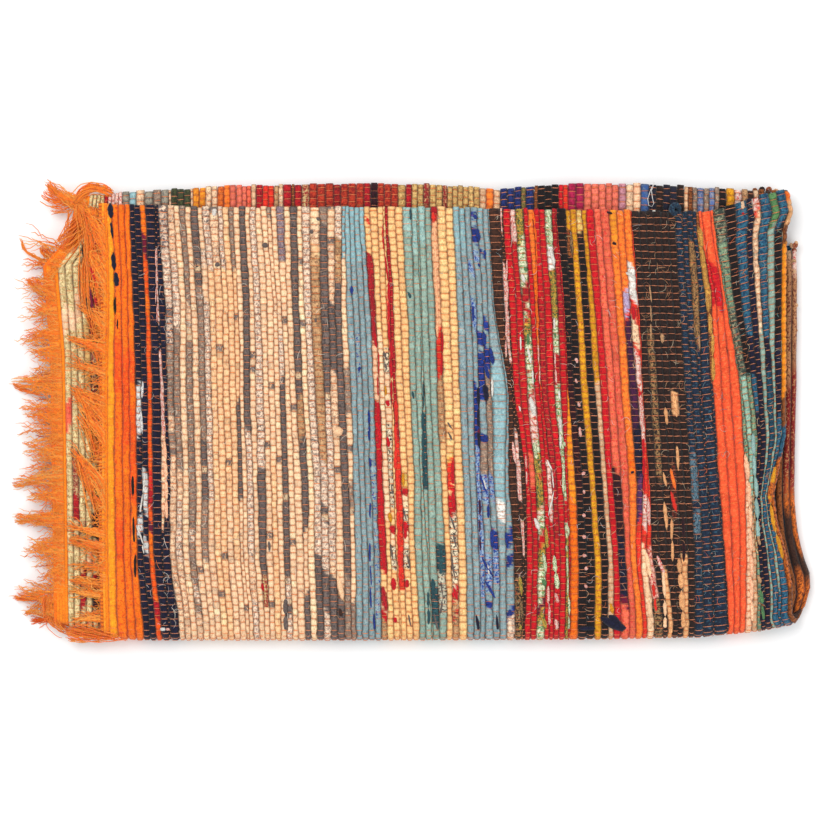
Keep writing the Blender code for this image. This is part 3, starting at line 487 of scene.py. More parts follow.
def lay_ribs(name, seams_at, ribs, first, last, at, dense):
    """Ribs first to last of a half, as soft beaded rods laid through the folds. dense says at
    which rows the ribs are fully shaped, from 0 to 1."""
    count, rings = last - first, len(at)
    piece, rod, ring, angle = soft_rods(name, count, 6, rings)
    angle = angle + math.pi / 6
    seams = seams_at(at)
    left, right = seams[first:last], seams[first + 1:last + 1]
    dice = np.random.default_rng(100 + first)
    middle = (0.5 * (left + right))[rod, ring]
    wide = np.abs(right - left)[rod, ring]
    row = at[ring]
    shift = np.array([0.5 * ((first + number) % 2) * (rib[0] not in ALIGNED)
                      for number, rib in enumerate(ribs[first:last])])
    beat = row * BEADS + shift[rod]
    off = np.abs(beat - np.rint(beat))
    firm = np.array([FIRMNESS[rib[0]] for rib in ribs[first:last]])
    pinch = np.exp(-((off / PINCH_REACH) ** 2)) * dense[ring] * firm[rod]
    bead = np.floor(beat).astype(int) % MOST_BEADS
    plump = dice.uniform(0.9, 1.06, (count, MOST_BEADS))[rod, bead]
    squeeze = (1 - PINCH_HEIGHT * pinch) * plump
    # The last rings at each end round the rib off.
    end = np.minimum(ring, rings - 1 - ring)
    round_off = np.choose(np.minimum(end, 2), (0.55, 0.86, 1.0))
    jut = dice.uniform(-1.2, 1.2, (count, 2))
    past = np.where(row < 0.5, jut[rod, 0], jut[rod, 1])
    bow = 1 - PINCH_WIDTH * pinch
    # Neighbouring ribs press into each other, but spread a little round the bend at the right.
    close = 0.96 if ribs[first][0] == "turn" else 1.08
    side = 0.5 * wide * close * np.cos(angle) * bow * (0.75 + 0.25 * round_off)
    side = side + dice.normal(0, 0.16, (count, MOST_BEADS))[rod, bead] * (wide > 2)
    rise = RIB_RISE * np.sin(angle) * squeeze * round_off * np.clip(0.55 + wide / 9.0, 0.6, 1.08)
    rise = rise + dice.normal(0, 0.05, len(rise))
    put_points(piece, fold(middle + side, rise, row, past))
    down = np.where(row <= 1, row * FRONT_LENGTH, FRONT_LENGTH + (row - 1) * BEND_LENGTH)
    down = np.where(row > 2, FRONT_LENGTH + BEND_LENGTH + (row - 2) * UNDER_LENGTH, down)
    main = np.empty((len(rod), 3))
    second = np.empty((len(rod), 3))
    share = np.empty(len(rod))
    rag_number = np.empty(len(rod))
    # Where one rag gives way to the next, the two overlap on a slant and fray into each other.
    slant = dice.uniform(-7, 7, count)[rod] * np.cos(angle) + dice.normal(0, 1.4, len(rod))
    for number in range(count):
        laid = ribs[first + number][2]
        mine = rod == number
        starts = np.array([start for start, _ in laid])
        place = np.where(down[mine] < 4, 0, down[mine] + slant[mine])
        which = np.maximum(np.searchsorted(starts, place + 0.01, "right") - 1, 0)
        table = np.array([RAGS[rag] for _, rag in laid])
        main[mine] = linear(table[which, :3])
        second[mine] = linear(table[which, 3:6])
        share[mine] = table[which, 6] / 100
        rag_number[mine] = (first + number) * 7 + which
    shade = dice.normal(1.0, 0.08, (count, MOST_BEADS))[rod, bead]
    tone = dice.normal(1.0, 0.05, (count, 1))[rod, 0]
    # Now and then a grey knot shows in a pale rib of the beige run, or the pale rag in a grey one.
    odd = (dice.random((count, MOST_BEADS)) < ODD_SHARE)[rod, bead] & (dense[ring] > 0.9)
    pale = main.mean(1) > 0.25
    knot = np.where(pale[:, None], linear((120, 105, 98)), linear((222, 190, 150)))
    beige = np.array([rib[0] == "beige" for rib in ribs[first:last]])[rod]
    main = np.where((odd & beige)[:, None], knot, main)
    main = np.clip(main * (shade * tone)[:, None], 0, 1)
    put_colour(piece, "Rag", main)
    put_colour(piece, "Fleck", second)
    put_vector(piece, "Lie", np.stack((down * 0.1, angle, rag_number), -1))
    # Painted shade: each rib's sides, where it meets its neighbours, and its pinches are marked
    # here to be darkened in the colour.
    painted_gap_shade = np.clip(0.5 - 0.55 * np.abs(np.sin(angle)), 0, 1) + 0.75 * pinch
    put_vector(piece, "FleckShareAndShade", np.stack((share, np.clip(painted_gap_shade, 0, 1), 1 - dense[ring]), -1))
    return piece


def add_node(tree, kind, values, **settings):
    """A shader node. Each socket, by name or number, is given a plain value, or the socket that
    feeds it, or the node whose first output does."""
    node = tree.nodes.new("ShaderNode" + kind)
    for name, value in settings.items():
        setattr(node, name, value)
    for socket, value in values.items():
        if isinstance(value, bpy.types.Node):
            value = value.outputs[0]
        if isinstance(value, bpy.types.NodeSocket):
            tree.links.new(value, node.inputs[socket])
        else:
            node.inputs[socket].default_value = value
    return node


def rag_effect():
    """Node group for rag cloth: two dyes mottled together, painted shade in the seams and creases,
    and a fibre height.
    """
    group = bpy.data.node_groups.new("Rag cloth", "ShaderNodeTree")
    for name, way, kind in (("Rag", "INPUT", "Color"), ("Fleck", "INPUT", "Color"),
                            ("Lie", "INPUT", "Vector"), ("FleckShareAndShade", "INPUT", "Vector"),
                            ("Place", "INPUT", "Vector"), ("Colour", "OUTPUT", "Color"),
                            ("Height", "OUTPUT", "Float")):
        group.interface.new_socket(name=name, in_out=way, socket_type="NodeSocket" + kind)
    given, out = group.nodes.new("NodeGroupInput"), group.nodes.new("NodeGroupOutput")
    split = add_node(group, "SeparateXYZ", {0: given.outputs["FleckShareAndShade"]})
    # Mottling in patches a few millimetres long, drawn out along the strip.
    drawn = add_node(group, "VectorMath", {0: given.outputs["Lie"], 1: (4.0, 1.3, 1.0)},
                     operation="MULTIPLY")
    patch = add_node(group, "TexNoise", {"Vector": drawn, "Scale": 1.0, "Detail": 3.0,
                                         "Roughness": 0.65, "Distortion": 0.6})
    half = add_node(group, "Math", {0: split.outputs["X"], 1: 0.34}, operation="MULTIPLY")
    level = add_node(group, "Math", {0: 0.67, 1: half}, operation="SUBTRACT")
    gap = add_node(group, "Math", {0: patch, 1: level}, operation="SUBTRACT")
    edge = add_node(group, "MapRange", {"Value": gap, "From Min": -0.035, "From Max": 0.035})
    dyed = add_node(group, "Mix", {"Factor": edge, 6: given.outputs["Rag"],
                                   7: given.outputs["Fleck"]}, data_type="RGBA")
    # Creases of the bunched strip, drawn out along the rib.
    pulled = add_node(group, "VectorMath", {0: given.outputs["Lie"], 1: (3.2, 2.6, 1.0)},
                      operation="MULTIPLY")
    crease = add_node(group, "TexNoise", {"Vector": pulled, "Scale": 1.0, "Detail": 4.0,
                                          "Roughness": 0.6, "Distortion": 0.5})
    # Fine thread grain of the cloth itself.
    grain = add_node(group, "TexNoise", {"Vector": given.outputs["Place"], "Scale": 1400.0,
                                         "Detail": 2.0})
    # Painted shade: the colour is darker in the creases, in the seams between ribs and at the
    # pinches, where shade falls; the grain's own darker threads darken it too.
    tone = add_node(group, "MapRange", {"Value": crease, "From Min": 0.30, "From Max": 0.70,
                                        "To Min": 0.66, "To Max": 1.2})
    fine = add_node(group, "MapRange", {"Value": grain, "From Min": 0.3, "From Max": 0.7,
                                        "To Min": 0.84, "To Max": 1.14})
    # Painted shade in the seams and pinches, from the attribute's second value.
    deep = add_node(group, "MapRange", {"Value": split.outputs["Y"], "To Min": 1.0,
                                        "To Max": 0.5})
    both = add_node(group, "Math", {0: tone, 1: fine}, operation="MULTIPLY")
    all_three = add_node(group, "Math", {0: both, 1: deep}, operation="MULTIPLY")
    shaded = add_node(group, "VectorMath", {0: dyed.outputs[2], "Scale": all_three},
                      operation="SCALE")
    height = add_node(group, "Math", {0: grain, 1: 0.25, 2: crease}, operation="MULTIPLY_ADD")
    group.links.new(shaded.outputs[0], out.inputs["Colour"])
    group.links.new(height.outputs[0], out.inputs["Height"])
    return group


def cotton(name, roughness, specular, sheen, sheen_roughness):
    """A dry cotton finish, still without its colour and relief."""
    material = bpy.data.materials.new(name)
    material.use_nodes = True
    shader = material.node_tree.nodes["Principled BSDF"]
    shader.inputs["Roughness"].default_value = roughness
    shader.inputs["Specular IOR Level"].default_value = specular
    shader.inputs["Sheen Weight"].default_value = sheen
    shader.inputs["Sheen Roughness"].default_value = sheen_roughness
    return material, material.node_tree, shader


def raise_relief(tree, shader, height, strength, distance):
    bump = add_node(tree, "Bump", {"Height": height, "Strength": strength, "Distance": distance})
    tree.links.new(bump.outputs["Normal"], shader.inputs["Normal"])


def rag_material(name, effect):
    """Torn cotton cloth, its colour and relief from the rag cloth effect."""
    material, tree, shader = cotton(name, 0.9, 0.25, 0.12, 0.5)
    cloth = tree.nodes.new("ShaderNodeGroup")
    cloth.node_tree = effect
    for layer, kind in (("Rag", "Color"), ("Fleck", "Color"), ("Lie", "Vector"),
                        ("FleckShareAndShade", "Vector")):
        read = add_node(tree, "Attribute", {}, attribute_name=layer)
        tree.links.new(read.outputs[kind], cloth.inputs[layer])
    place = add_node(tree, "TexCoord", {})
    tree.links.new(place.outputs["Object"], cloth.inputs["Place"])
    tree.links.new(cloth.outputs["Colour"], shader.inputs["Base Color"])
    raise_relief(tree, shader, cloth.outputs["Height"], 0.55, 0.0009)
    return material


rag_cloth = rag_effect()
outer_rag = rag_material("outer rag", rag_cloth)
ON_A = np.ones(len(AT_DENSE))
ON_A[4 * BEADS:] = 0.35
count_a = len(RIBS_A)
names_a = [rib[0] for rib in RIBS_A]
cut_1 = names_a.index("sky")
cut_2 = names_a.index("mustard")
rug_pieces = []


def add_run(name, seams_at, ribs, first, last, at, dense, material):
    """A run of ribs in its cloth, kept with its length along the warps."""
    piece = lay_ribs(name, seams_at, ribs, first, last, at, dense)
    put_material(piece, material)
    ends = seams_at(np.array((0.5,)))
    rug_pieces.append((piece, abs(ends[last, 0] - ends[first, 0])))


add_run("ribs_left", seams_a, RIBS_A, 0, cut_1, AT_DENSE, ON_A, outer_rag)
add_run("ribs_middle", seams_a, RIBS_A, cut_1, cut_2, AT_DENSE, ON_A, outer_rag)
add_run("ribs_right", seams_a, RIBS_A, cut_2, count_a, AT_DENSE, ON_A, outer_rag)

# ---------------------------------------------------------------------------------------------
# The ribs of the inner half: the warps turn back at the right and the weaving goes on beneath.
# It shows as a strip above the outer half, in the bend, and as pale green ribs at the left.
# Its draft gives one width a rib: those in the turn first, then those of the strip, then the pale
# green ones at the left, of which the first four are hidden.
INNER_DRAFT = """
turn
5.6 tangerine 10 peachtan 35 tobacco 54 marigold 216 tobacco 248 lagoon 280 tobaccoorange 418
  tobacco 511 tobaccoorange 617 brick 755 tobaccofleck
5.1 coffee 481 tobaccoorange 511 coffee 553 tobaccoorange 612 brick 753 tobaccofleck 870 rose
inner
6 coffee 481 tobaccoorange 521 coffee 596 tobaccoorange 626 brick 745 tobaccofleck 878 oat
6 tobacco; 6 coffee; 6 tobacco; 5 oat; 5 coffee; 6 tan; 7 rose; 8 mustard; 6.4 black; 4.6 taupe
5.8 royalgrey; 5.2 taupe; 6.8 royalgrey; 4.6 taupe; 4.6 tobacco; 4.2 biscuit; 7 bark; 7 navybark
7 navybark; 7 bark; 7 navybark; 8.6 royaldull; 7.6 peach; 7.4 oat; 7.4 mauve; 6.6 salmon
6.4 salmon; 7 salmon; 7.6 salmon; 7.6 salmon; 8 magenta; 8 magenta; 5 poppy; 4.4 red; 7 black
7 black; 7.2 black; 3.4 tobacco; 8.6 navyroyal; 4.6 olive; 7 navyroyal; 7 navyroyal; 7.2 navyroyal
6.8 biscuit; 7.6 tangerine; 6.4 biscuit; 6 pear; 5.4 pear; 5.4 pear; 5.4 pear; 5.4 pear; 5.2 pear
4.6 redpear; 6.6 pear; 6.6 pear; 6.2 redpear; 6 pear; 6 pear; 5.8 crimson; 8 pear; 7 rust
6.8 rust; 6.8 rust; 7 wineblack; 6.8 crimson; 8 rust; 8 rust; 7.6 rust; 7 crimsonrust; 8.4 rust
8.2 rust; 8 rust; 7.6 wineflock; 7.4 crimson; 2.8 tobacco; 8.6 crimson; 4.6 oat; 4.6 tan
5.8 poppy; 5.8 poppy; 6.6 crimson; 4.8 biscuit; 4.6 coral; 4.6 salmon; 6 salmon; 6.2 salmon
6.4 tangerine; 6.4 rustorange; 6 oat; 6 oat; 6.4 mustardorange; 6.4 mustardorange; 2.4 oat
6.6 olivedark; 6.6 olivedark; 6.4 olivedark; 2.4 oat; 7.6 greytan; 8.2 taupe; 8.6 greytan; 8.6 oat
7 skybright; 7 greytan
left
6.6 rose 16 wineflock; 6.6 rose 16 wineflock; 6.6 rose 16 wineflock; 6.6 rose 16 wineflock
7 crimson 46 wineflock 69 crimson 94 coffee 112 crimson 147 wineflock 205 coffee 237 wineflock
  280 pearlump 333 wineblack 360 pearlump 397 crimson 418 wineblack 434 pearlump
7 pearlump 131 pear 205 pearlump 376 biscuit 392 pearlump 440 crimson 447 pearlump
7 pearlump 99 biscuit 131 pearlump 344 wineflock 354 pearlump 393 crimson 408 pearlump 418
  crimson 434 pearlump
7 pearlump 120 cream 142 pearlump 264 wineflock 315 crimson 342 pearlump
7 pearlump 118 cream 144 pearlump 214 coral 245 pearlump
"""
RIBS_B = [(band, widths[0], laid) for band, widths, laid in read_draft(INNER_DRAFT)]


# The inner half's upper side runs from the bend to where its pale green ribs start. Its ribs
# follow the waver of the bend only past NEAR_BEND.
LEFT_SEAM, RIGHT_END, NEAR_BEND = -308.8, 392.3, 330


def shares_b(part):
    """How far across its part the far seam of each rib lies, from 0 to 1."""
    widths = np.array([rib[1] for rib in RIBS_B if rib[0] == part])
    return (np.cumsum(widths) / widths.sum())[:, None]


def seams_b(at):
    """Seams of the inner half: round the bend first, then back to the left end."""
    centre = bend_centre(at)
    past_bend = centre + math.pi * BEND_RADIUS
    fixed = RIGHT_END - shares_b("inner") * (RIGHT_END - LEFT_SEAM)
    follow = np.clip((fixed - NEAR_BEND) / (RIGHT_END - NEAR_BEND), 0, 1)
    inner = fixed + follow * (centre - RIGHT_END)
    left = LEFT_SEAM + shares_b("left") * (end_b(at) - LEFT_SEAM)
    return np.vstack((centre, centre + math.pi * BEND_RADIUS * shares_b("turn"),
                      past_bend + centre - inner, past_bend + centre - left))


AT_COARSE = np.concatenate((FRONT[:22], np.arange(0.11, 0.98, 0.06), 1 + np.arange(8) / 8,
                            np.linspace(2, 3, 14)))
ON_COARSE = np.where(AT_COARSE < 0.1, 1.0, 0.0)
inner_rag = rag_material("inner rag", rag_cloth)
parts_b = [rib[0] for rib in RIBS_B]
turn_end = len([part for part in parts_b if part == "turn"]) + 3
left_start = parts_b.index("left")
add_run("ribs_bend", seams_b, RIBS_B, 0, turn_end, AT_DENSE, ON_A, inner_rag)
add_run("ribs_inner", seams_b, RIBS_B, turn_end, left_start, AT_COARSE, ON_COARSE, inner_rag)
add_run("ribs_green", seams_b, RIBS_B, left_start, len(RIBS_B), AT_DENSE, ON_A, inner_rag)

# ---------------------------------------------------------------------------------------------
# The warps: orange cotton yarn that goes over one rib and under the next, so each rib shows a
# short thread at each of its pinches.


def put_rods(name, paths, radius, sides, colours, flat=1.0):
    """Round yarns along given paths, all with as many points; paths are in metres."""
    paths = np.asarray(paths)
    count, rings = paths.shape[:2]
    piece, rod, ring, angle = soft_rods(name, count, sides, rings)
    along = np.gradient(paths, axis=1)
    along /= np.linalg.norm(along, axis=2, keepdims=True) + 1e-12
    up = np.array((0.02, 0.03, 1.0))
    beside = np.cross(along, up)
    beside /= np.linalg.norm(beside, axis=2, keepdims=True) + 1e-12
    over = np.cross(beside, along)
    radius = np.asarray(radius, float)
    thick = np.broadcast_to(radius.reshape(count, -1), (count, rings)).copy()
    thick[:, 0] *= 0.5
    thick[:, -1] *= 0.45
    size = thick[rod, ring][:, None]
    points = paths[rod, ring] + size * (np.cos(angle)[:, None] * beside[rod, ring]
                                        + flat * np.sin(angle)[:, None] * over[rod, ring])
    put_points(piece, points)
    put_colour(piece, "Rag", np.asarray(colours)[rod])
    put_vector(piece, "Lie", np.stack((ring * 0.6, angle, rod * 3.7), -1))
    return piece


def yarn_material(name):
    """Twisted cotton yarn: its dye varies along the thread and its plies show as fine slants."""
    material, tree, shader = cotton(name, 0.8, 0.3, 0.15, 0.45)
    dye = add_node(tree, "Attribute", {}, attribute_name="Rag")
    lie = add_node(tree, "Attribute", {}, attribute_name="Lie")
    plies = add_node(tree, "TexWave", {"Vector": lie.outputs["Vector"], "Scale": 0.9,
                                       "Distortion": 1.5, "Detail": 2.0})
    tone = add_node(tree, "MapRange", {"Value": plies.outputs["Fac"], "To Min": 0.84,
                                       "To Max": 1.1})
    shaded = add_node(tree, "VectorMath", {0: dye, "Scale": tone}, operation="SCALE")
    tree.links.new(shaded.outputs[0], shader.inputs["Base Color"])
    raise_relief(tree, shader, plies.outputs["Fac"], 0.4, 0.0003)
    return material


warp_yarn = yarn_material("warp yarn")
# The four points of a thread that goes over a rib: across it, in rib widths, and above it.
OVER_STEPS = np.array((-0.52, -0.22, 0.22, 0.52))
OVER_RISE = np.array((0.2, 1.92, 1.92, 0.2))


def warp_colour(main):
    """On dark rags the yarn looks tan-pink and on pale ones orange."""
    bright = main.mean(-1, keepdims=True)
    pale = np.clip(bright * 3.0, 0, 1)
    return (1 - pale) * linear((228, 140, 98)) + pale * linear((238, 125, 55))


def lay_warps(name, seams_at, ribs, first, last, beads, side):
    """One short yarn over each of the first beads of ribs first to last. side is -1 where the
    cloth lies face down."""
    paths, colours, radii = [], [], []
    dice = np.random.default_rng(900 + first)
    beats = np.arange(beads, dtype=float)
    for number in range(first, last):
        at = (beats - 0.5 * (number % 2) * (ribs[number][0] not in ALIGNED)) / BEADS
        # Three more pinches follow the rib round the bottom bend.
        bend = 1.03 + 0.17 * (np.arange(3) + 0.5 * (number % 2))
        at = np.concatenate((at[(at > 0.004) & (at < 0.996)], bend if beats[-1] > BEADS else []))
        seams = seams_at(at)
        left, right = seams[number], seams[number + 1]
        middle, wide = 0.5 * (left + right), np.abs(right - left)
        drift = dice.normal(0, 0.0004, (len(at), 1)) + dice.normal(0, 0.0004, (len(at), 4))
        run = middle[:, None] + wide[:, None] * 1.06 * OVER_STEPS
        lift = (OVER_RISE + 0.28)[None, :] * side + np.where(at > 1, 0.5, 0)[:, None] * side
        row = at[:, None] + drift
        paths.append(fold(run, lift, np.maximum(row, 0)))
        radii.append(dice.uniform(0.00036, 0.00052, len(at)))
        laid = ribs[number][2]
        starts = np.array([start for start, _ in laid])
        which = np.searchsorted(starts, at * FRONT_LENGTH + 0.01, "right") - 1
        main = linear([RAGS[rag][:3] for _, rag in laid])[which]
        tint = warp_colour(main) * dice.normal(1.0, 0.12, (len(at), 1))
        colours.append(np.clip(tint, 0, 1))
    paths, colours = np.concatenate(paths), np.concatenate(colours)
    piece = put_rods(name, paths, np.concatenate(radii), 3, colours)
    put_material(piece, warp_yarn)
    return piece


for name, seams_at, ribs, first, last, beads, side in (
        ("warps_left", seams_a, RIBS_A, 0, cut_1, BEADS + 2, 1.0),
        ("warps_middle", seams_a, RIBS_A, cut_1, cut_2, BEADS + 2, 1.0),
        ("warps_right", seams_a, RIBS_A, cut_2, count_a, BEADS + 2, 1.0),
        ("warps_strip", seams_b, RIBS_B, turn_end, left_start, 6, -1.0),
        ("warps_green", seams_b, RIBS_B, left_start, len(RIBS_B), BEADS + 2, -1.0)):
    piece = lay_warps(name, seams_at, ribs, first, last, beads, side)
    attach(piece, "root")
    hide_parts("rug")

# ---------------------------------------------------------------------------------------------
# The headers: a few fine rows of plain orange cotton at each end, woven close so that the rags
# can't slip off the warps.
HEADER_A, HEADER_B = 8.5, 15.0
ORANGE = {"glow": (255, 158, 40), "orange": (255, 140, 28), "deep": (250, 118, 24)}


def lay_header(name, edge_at, wide, number, half, colours):
    """Rows of plain cotton side by side, from the rags' edge outwards over the given width."""
    at = AT_DENSE if half == "outer" else AT_DENSE[::2]
    piece, rod, ring, angle = soft_rods(name, number, 6, len(at))
    angle = angle + math.pi / 6
    edge = edge_at(at)
    seams = np.array([edge - wide * (number - row) / number for row in range(number + 1)])
    row = at[ring]
    middle = (0.5 * (seams[:-1] + seams[1:]))[rod, ring]
    side = 0.5 * wide / number * 1.5 * np.cos(angle)
    rise = 1.7 * np.sin(angle)
    end = np.minimum(ring, len(at) - 1 - ring)
    rise = rise * np.choose(np.minimum(end, 2), (0.5, 0.85, 1.0))
    x = middle + side
    if half == "inner":
        centre = bend_centre(row)
        x = centre + math.pi * BEND_RADIUS + centre - x
    put_points(piece, fold(x, rise, row))
    table = linear([ORANGE[tint] for tint in colours])
    dice = np.random.default_rng(40 + number)
    shade = dice.normal(1.0, 0.06, (number, len(at)))[rod, ring]
    colour = table[rod] * shade[:, None]
    if half == "outer":
        # Painted shadow: dark red dots down the header's first row stand for the shade in the
        # holes between the grouped warps, next to the fringe.
        hole_shadow = (rod == 0) & (ring % 2 == 0)
        colour[hole_shadow] = linear((150, 45, 25))
    put_colour(piece, "Rag", np.clip(colour, 0, 1))
    put_colour(piece, "Fleck", np.tile(linear((240, 105, 22)), (len(rod), 1)))
    put_vector(piece, "Lie", np.stack((row * 135, angle, rod + 0.5), -1))
    # Painted shade: the sides of each header row, where it meets the next, are marked to be
    # darkened in the colour.
    header_gap_shade = np.clip(0.5 - 0.6 * np.abs(np.sin(angle)), 0, 1)
    put_vector(piece, "FleckShareAndShade", np.stack((np.full(len(rod), 0.3), header_gap_shade, header_gap_shade * 0), -1))
    put_material(piece, header_cotton)
    return piece


header_cotton = rag_material("header cotton", rag_cloth)
header_a = lay_header("header_outer", lambda at: eased(BANDS["end"], at), HEADER_A, 3, "outer",
                      ("orange", "glow", "orange"))
header_b = lay_header("header_inner", end_b, HEADER_B, 5, "inner",
                      ("deep", "orange", "orange", "orange", "orange"))
for piece, node in ((header_a, "fringe_a"), (header_b, "fringe_b")):
    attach(piece, "root")
    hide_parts(node)

# ---------------------------------------------------------------------------------------------
# The fringe: the cut warps hang loose past the headers. They keep the crimp that the weave gave
# them, cling together in tapering bunches and curl at their tips.
# A bunch is given by where it starts and stops down the header, its locks and its tip.
BUNCHES_A = (
    (196.0, 160.0, 3, -352.0, 216.0), (156.0, 119.0, 3, -350.0, 178.0),
    (100.0, 82.0, 2, -357.0, 114.0), (75.5, 60.6, 2, -367.5, 77.0),
    (46.0, 33.0, 2, -367.5, 52.0), (16.0, -16.0, 3, -365.5, 26.0),
    (-20.0, -41.5, 2, -358.5, 9.5), (-73.4, -109.6, 3, -363.5, -39.4),
    (-126.6, -135.1, 2, -367.5, -122.0), (-139.4, -150.0, 2, -366.5, -136.0),
    (-160.7, -171.3, 1, -365.5, -164.9), (-175.6, -186.2, 1, -365.5, -179.8),
    (-190.5, -201.1, 2, -367.5, -191.0), (-214.0, -226.0, 2, -367.0, -222.0))
BUNCHES_B = (
    (224.0, 205.0, 3, -391.6, 240.0), (170.0, 163.0, 1, -420.3, 189.4),
    (166.5, 152.5, 2, -415.0, 161.5), (143.0, 120.0, 2, -411.8, 139.0),
    (117.0, 93.0, 3, -408.6, 106.3), (90.0, 76.0, 2, -418.2, 79.8),
    (73.0, 45.0, 3, -410.7, 61.8), (42.0, 12.0, 4, -427.3, 29.8),
    (9.0, -20.0, 3, -412.8, -6.4), (-23.0, -52.0, 3, -415.0, -38.4),
    (-55.0, -82.0, 3, -426.8, -74.7), (-85.0, -100.0, 2, -409.6, -89.1),
    (-103.0, -126.0, 3, -425.6, -115.1), (-129.0, -157.0, 3, -412.8, -144.8),
    (-160.0, -188.0, 2, -395.8, -174.5), (-190.0, -207.0, 3, -428.9, -195.9),
    (-208.0, -216.5, 1, -411.8, -212.9))
# No thread lies lower than LOWEST over the floor or further down the picture than FOREMOST.
LOWEST, FOREMOST = 0.9, -243.5
THREAD_RINGS = 14
step = np.linspace(0, 1, THREAD_RINGS)


def curl_tip(x, y, size, spin):
    """Turns the tail of a thread into a hook of the given size."""
    return x + size * np.sin(np.abs(spin)), y + size * (1 - np.cos(spin)) * np.sign(spin[-1])


def loose_threads(bunches, root_at, height_at, seed, number, spread, crimp):
    """Threads of each bunch, from between two places down the header to near its tip."""
    paths, radii, colours = [], [], []
    dice = np.random.default_rng(seed)
    tints = linear(((255, 158, 50), (255, 146, 36), (255, 132, 26), (250, 116, 20),
                    (255, 176, 80)))
    for start, stop, locks, tip_x, tip_y in bunches:
        for _ in range(int(number * locks)):
            y0 = dice.uniform(stop, start)
            at = np.clip((TOP_EDGE - y0) / FRONT_LENGTH, 0, 1)
            x0 = float(root_at(np.array(at)))
            reach = dice.uniform(0.45, 1.04)
            x1 = x0 + (tip_x - x0) * reach + dice.normal(0, spread * 0.4)
            y1 = y0 + (tip_y - y0) * min(reach, 1) + dice.normal(0, spread)
            bend_x = x0 + 0.45 * (x1 - x0)
            bend_y = y0 + dice.uniform(0.1, 0.75) * (tip_y - y0)
            x = (1 - step) ** 2 * x0 + 2 * step * (1 - step) * bend_x + step ** 2 * x1
            y = (1 - step) ** 2 * y0 + 2 * step * (1 - step) * bend_y + step ** 2 * y1
            turns = abs(x1 - x0) / dice.uniform(5.5, 8.0)
            wave = crimp * dice.uniform(0.5, 1.3) * np.minimum(step * 4, 1)
            phase = dice.uniform(0, 6.28)
            y = y + wave * np.sin(6.28 * turns * step + phase)
            curl = max(dice.normal(0, 1.0), 0) * 2.6
            tail = np.clip((step - 0.72) / 0.28, 0, 1)
            x, y = curl_tip(x, y, curl, dice.choice((-1, 1)) * 3.6 * tail)
            z = height_at(x0, x) + dice.uniform(-0.9, 0.9) * np.minimum(step * 5, 1)
            z = z + 0.4 * wave * np.cos(6.28 * turns * step + phase)
            paths.append(in_frame(x, y, z))
            radii.append(dice.uniform(0.38, 0.62))
            colours.append(tints[dice.integers(0, len(tints))] * dice.normal(1.0, 0.1))
    return paths, radii, colours


def curtain(root_at, height_at, seed, number, top, short, long, crimp):
    """Threads that left their bunches and fill the space between them, crimped and curling."""
    paths, radii, colours = [], [], []
    dice = np.random.default_rng(seed)
    tints = linear(((255, 156, 48), (255, 144, 34), (255, 130, 26), (255, 172, 76)))
    for y0 in np.linspace(-221, top, number) + dice.normal(0, 1.5, number):
        at = np.clip((TOP_EDGE - y0) / FRONT_LENGTH, 0, 1)
        x0 = float(root_at(np.array(at)))
        length = dice.uniform(short, long) * (0.8 + 0.35 * math.sin(y0 / 5.1 + math.sin(y0 / 17)))
        x = x0 - length * step
        lean = dice.normal(0, 5.0)
        turns = length / dice.uniform(5.0, 8.0)
        phase = dice.uniform(0, 6.28)
        fade = np.minimum(step * 3, 1)
        y = y0 + lean * step ** 1.5 + crimp * fade * np.sin(6.28 * turns * step + phase)
        tail = np.clip((step - 0.7) / 0.3, 0, 1) * 3.4 * dice.choice((-1, 1))
        x, y = curl_tip(x, y, dice.uniform(0, 3.0), tail)
        z = height_at(x0, x) + dice.uniform(-1.0, 1.0) * fade
        paths.append(in_frame(x, y, z))
        radii.append(dice.uniform(0.36, 0.56))
        colours.append(tints[dice.integers(0, 4)] * dice.normal(1.0, 0.08))
    return paths, radii, colours


def ropes(table, seed):
    """Bundles that lie along a line of their own: number, spread and height at both ends, and
    then the points of the line."""
    paths, radii, colours = [], [], []
    dice = np.random.default_rng(seed)
    tints = linear(((255, 154, 46), (255, 140, 32), (252, 122, 24)))
    for line in table.strip().split("\n"):
        numbers = [float(word) for word in line.split()]
        number, spread_0, spread_1, high_0, high_1 = numbers[:5]
        points = np.array(numbers[5:]).reshape(-1, 2)
        knots = np.linspace(0, 1, len(points))
        for _ in range(int(number)):
            start, stop = dice.uniform(0, 0.12), dice.uniform(0.8, 1.0)
            grow = start + (stop - start) * step
            x, y = (smoothed(np.interp(grow, knots, places), 3) for places in points.T)
            spread = spread_0 + (spread_1 - spread_0) * grow
            side, over = dice.normal(0, 0.5, 2)
            twist = 2.2 * grow
            dx, dy = np.gradient(x), np.gradient(y)
            norm = np.hypot(dx, dy) + 1e-9
            off = spread * (side * np.cos(twist) - over * np.sin(twist))
            off = off + 0.35 * np.sin(30 * grow + dice.uniform(0, 6))
            x, y = x - off * dy / norm, y + off * dx / norm
            z = high_0 + (high_1 - high_0) * grow
            z = z + 0.45 * spread * (side * np.sin(twist) + over * np.cos(twist))
            paths.append(in_frame(x, y, np.maximum(z, LOWEST)))
            radii.append(dice.uniform(0.4, 0.62))
            colours.append(tints[dice.integers(0, 3)] * dice.normal(1.0, 0.07))
    return paths, radii, colours


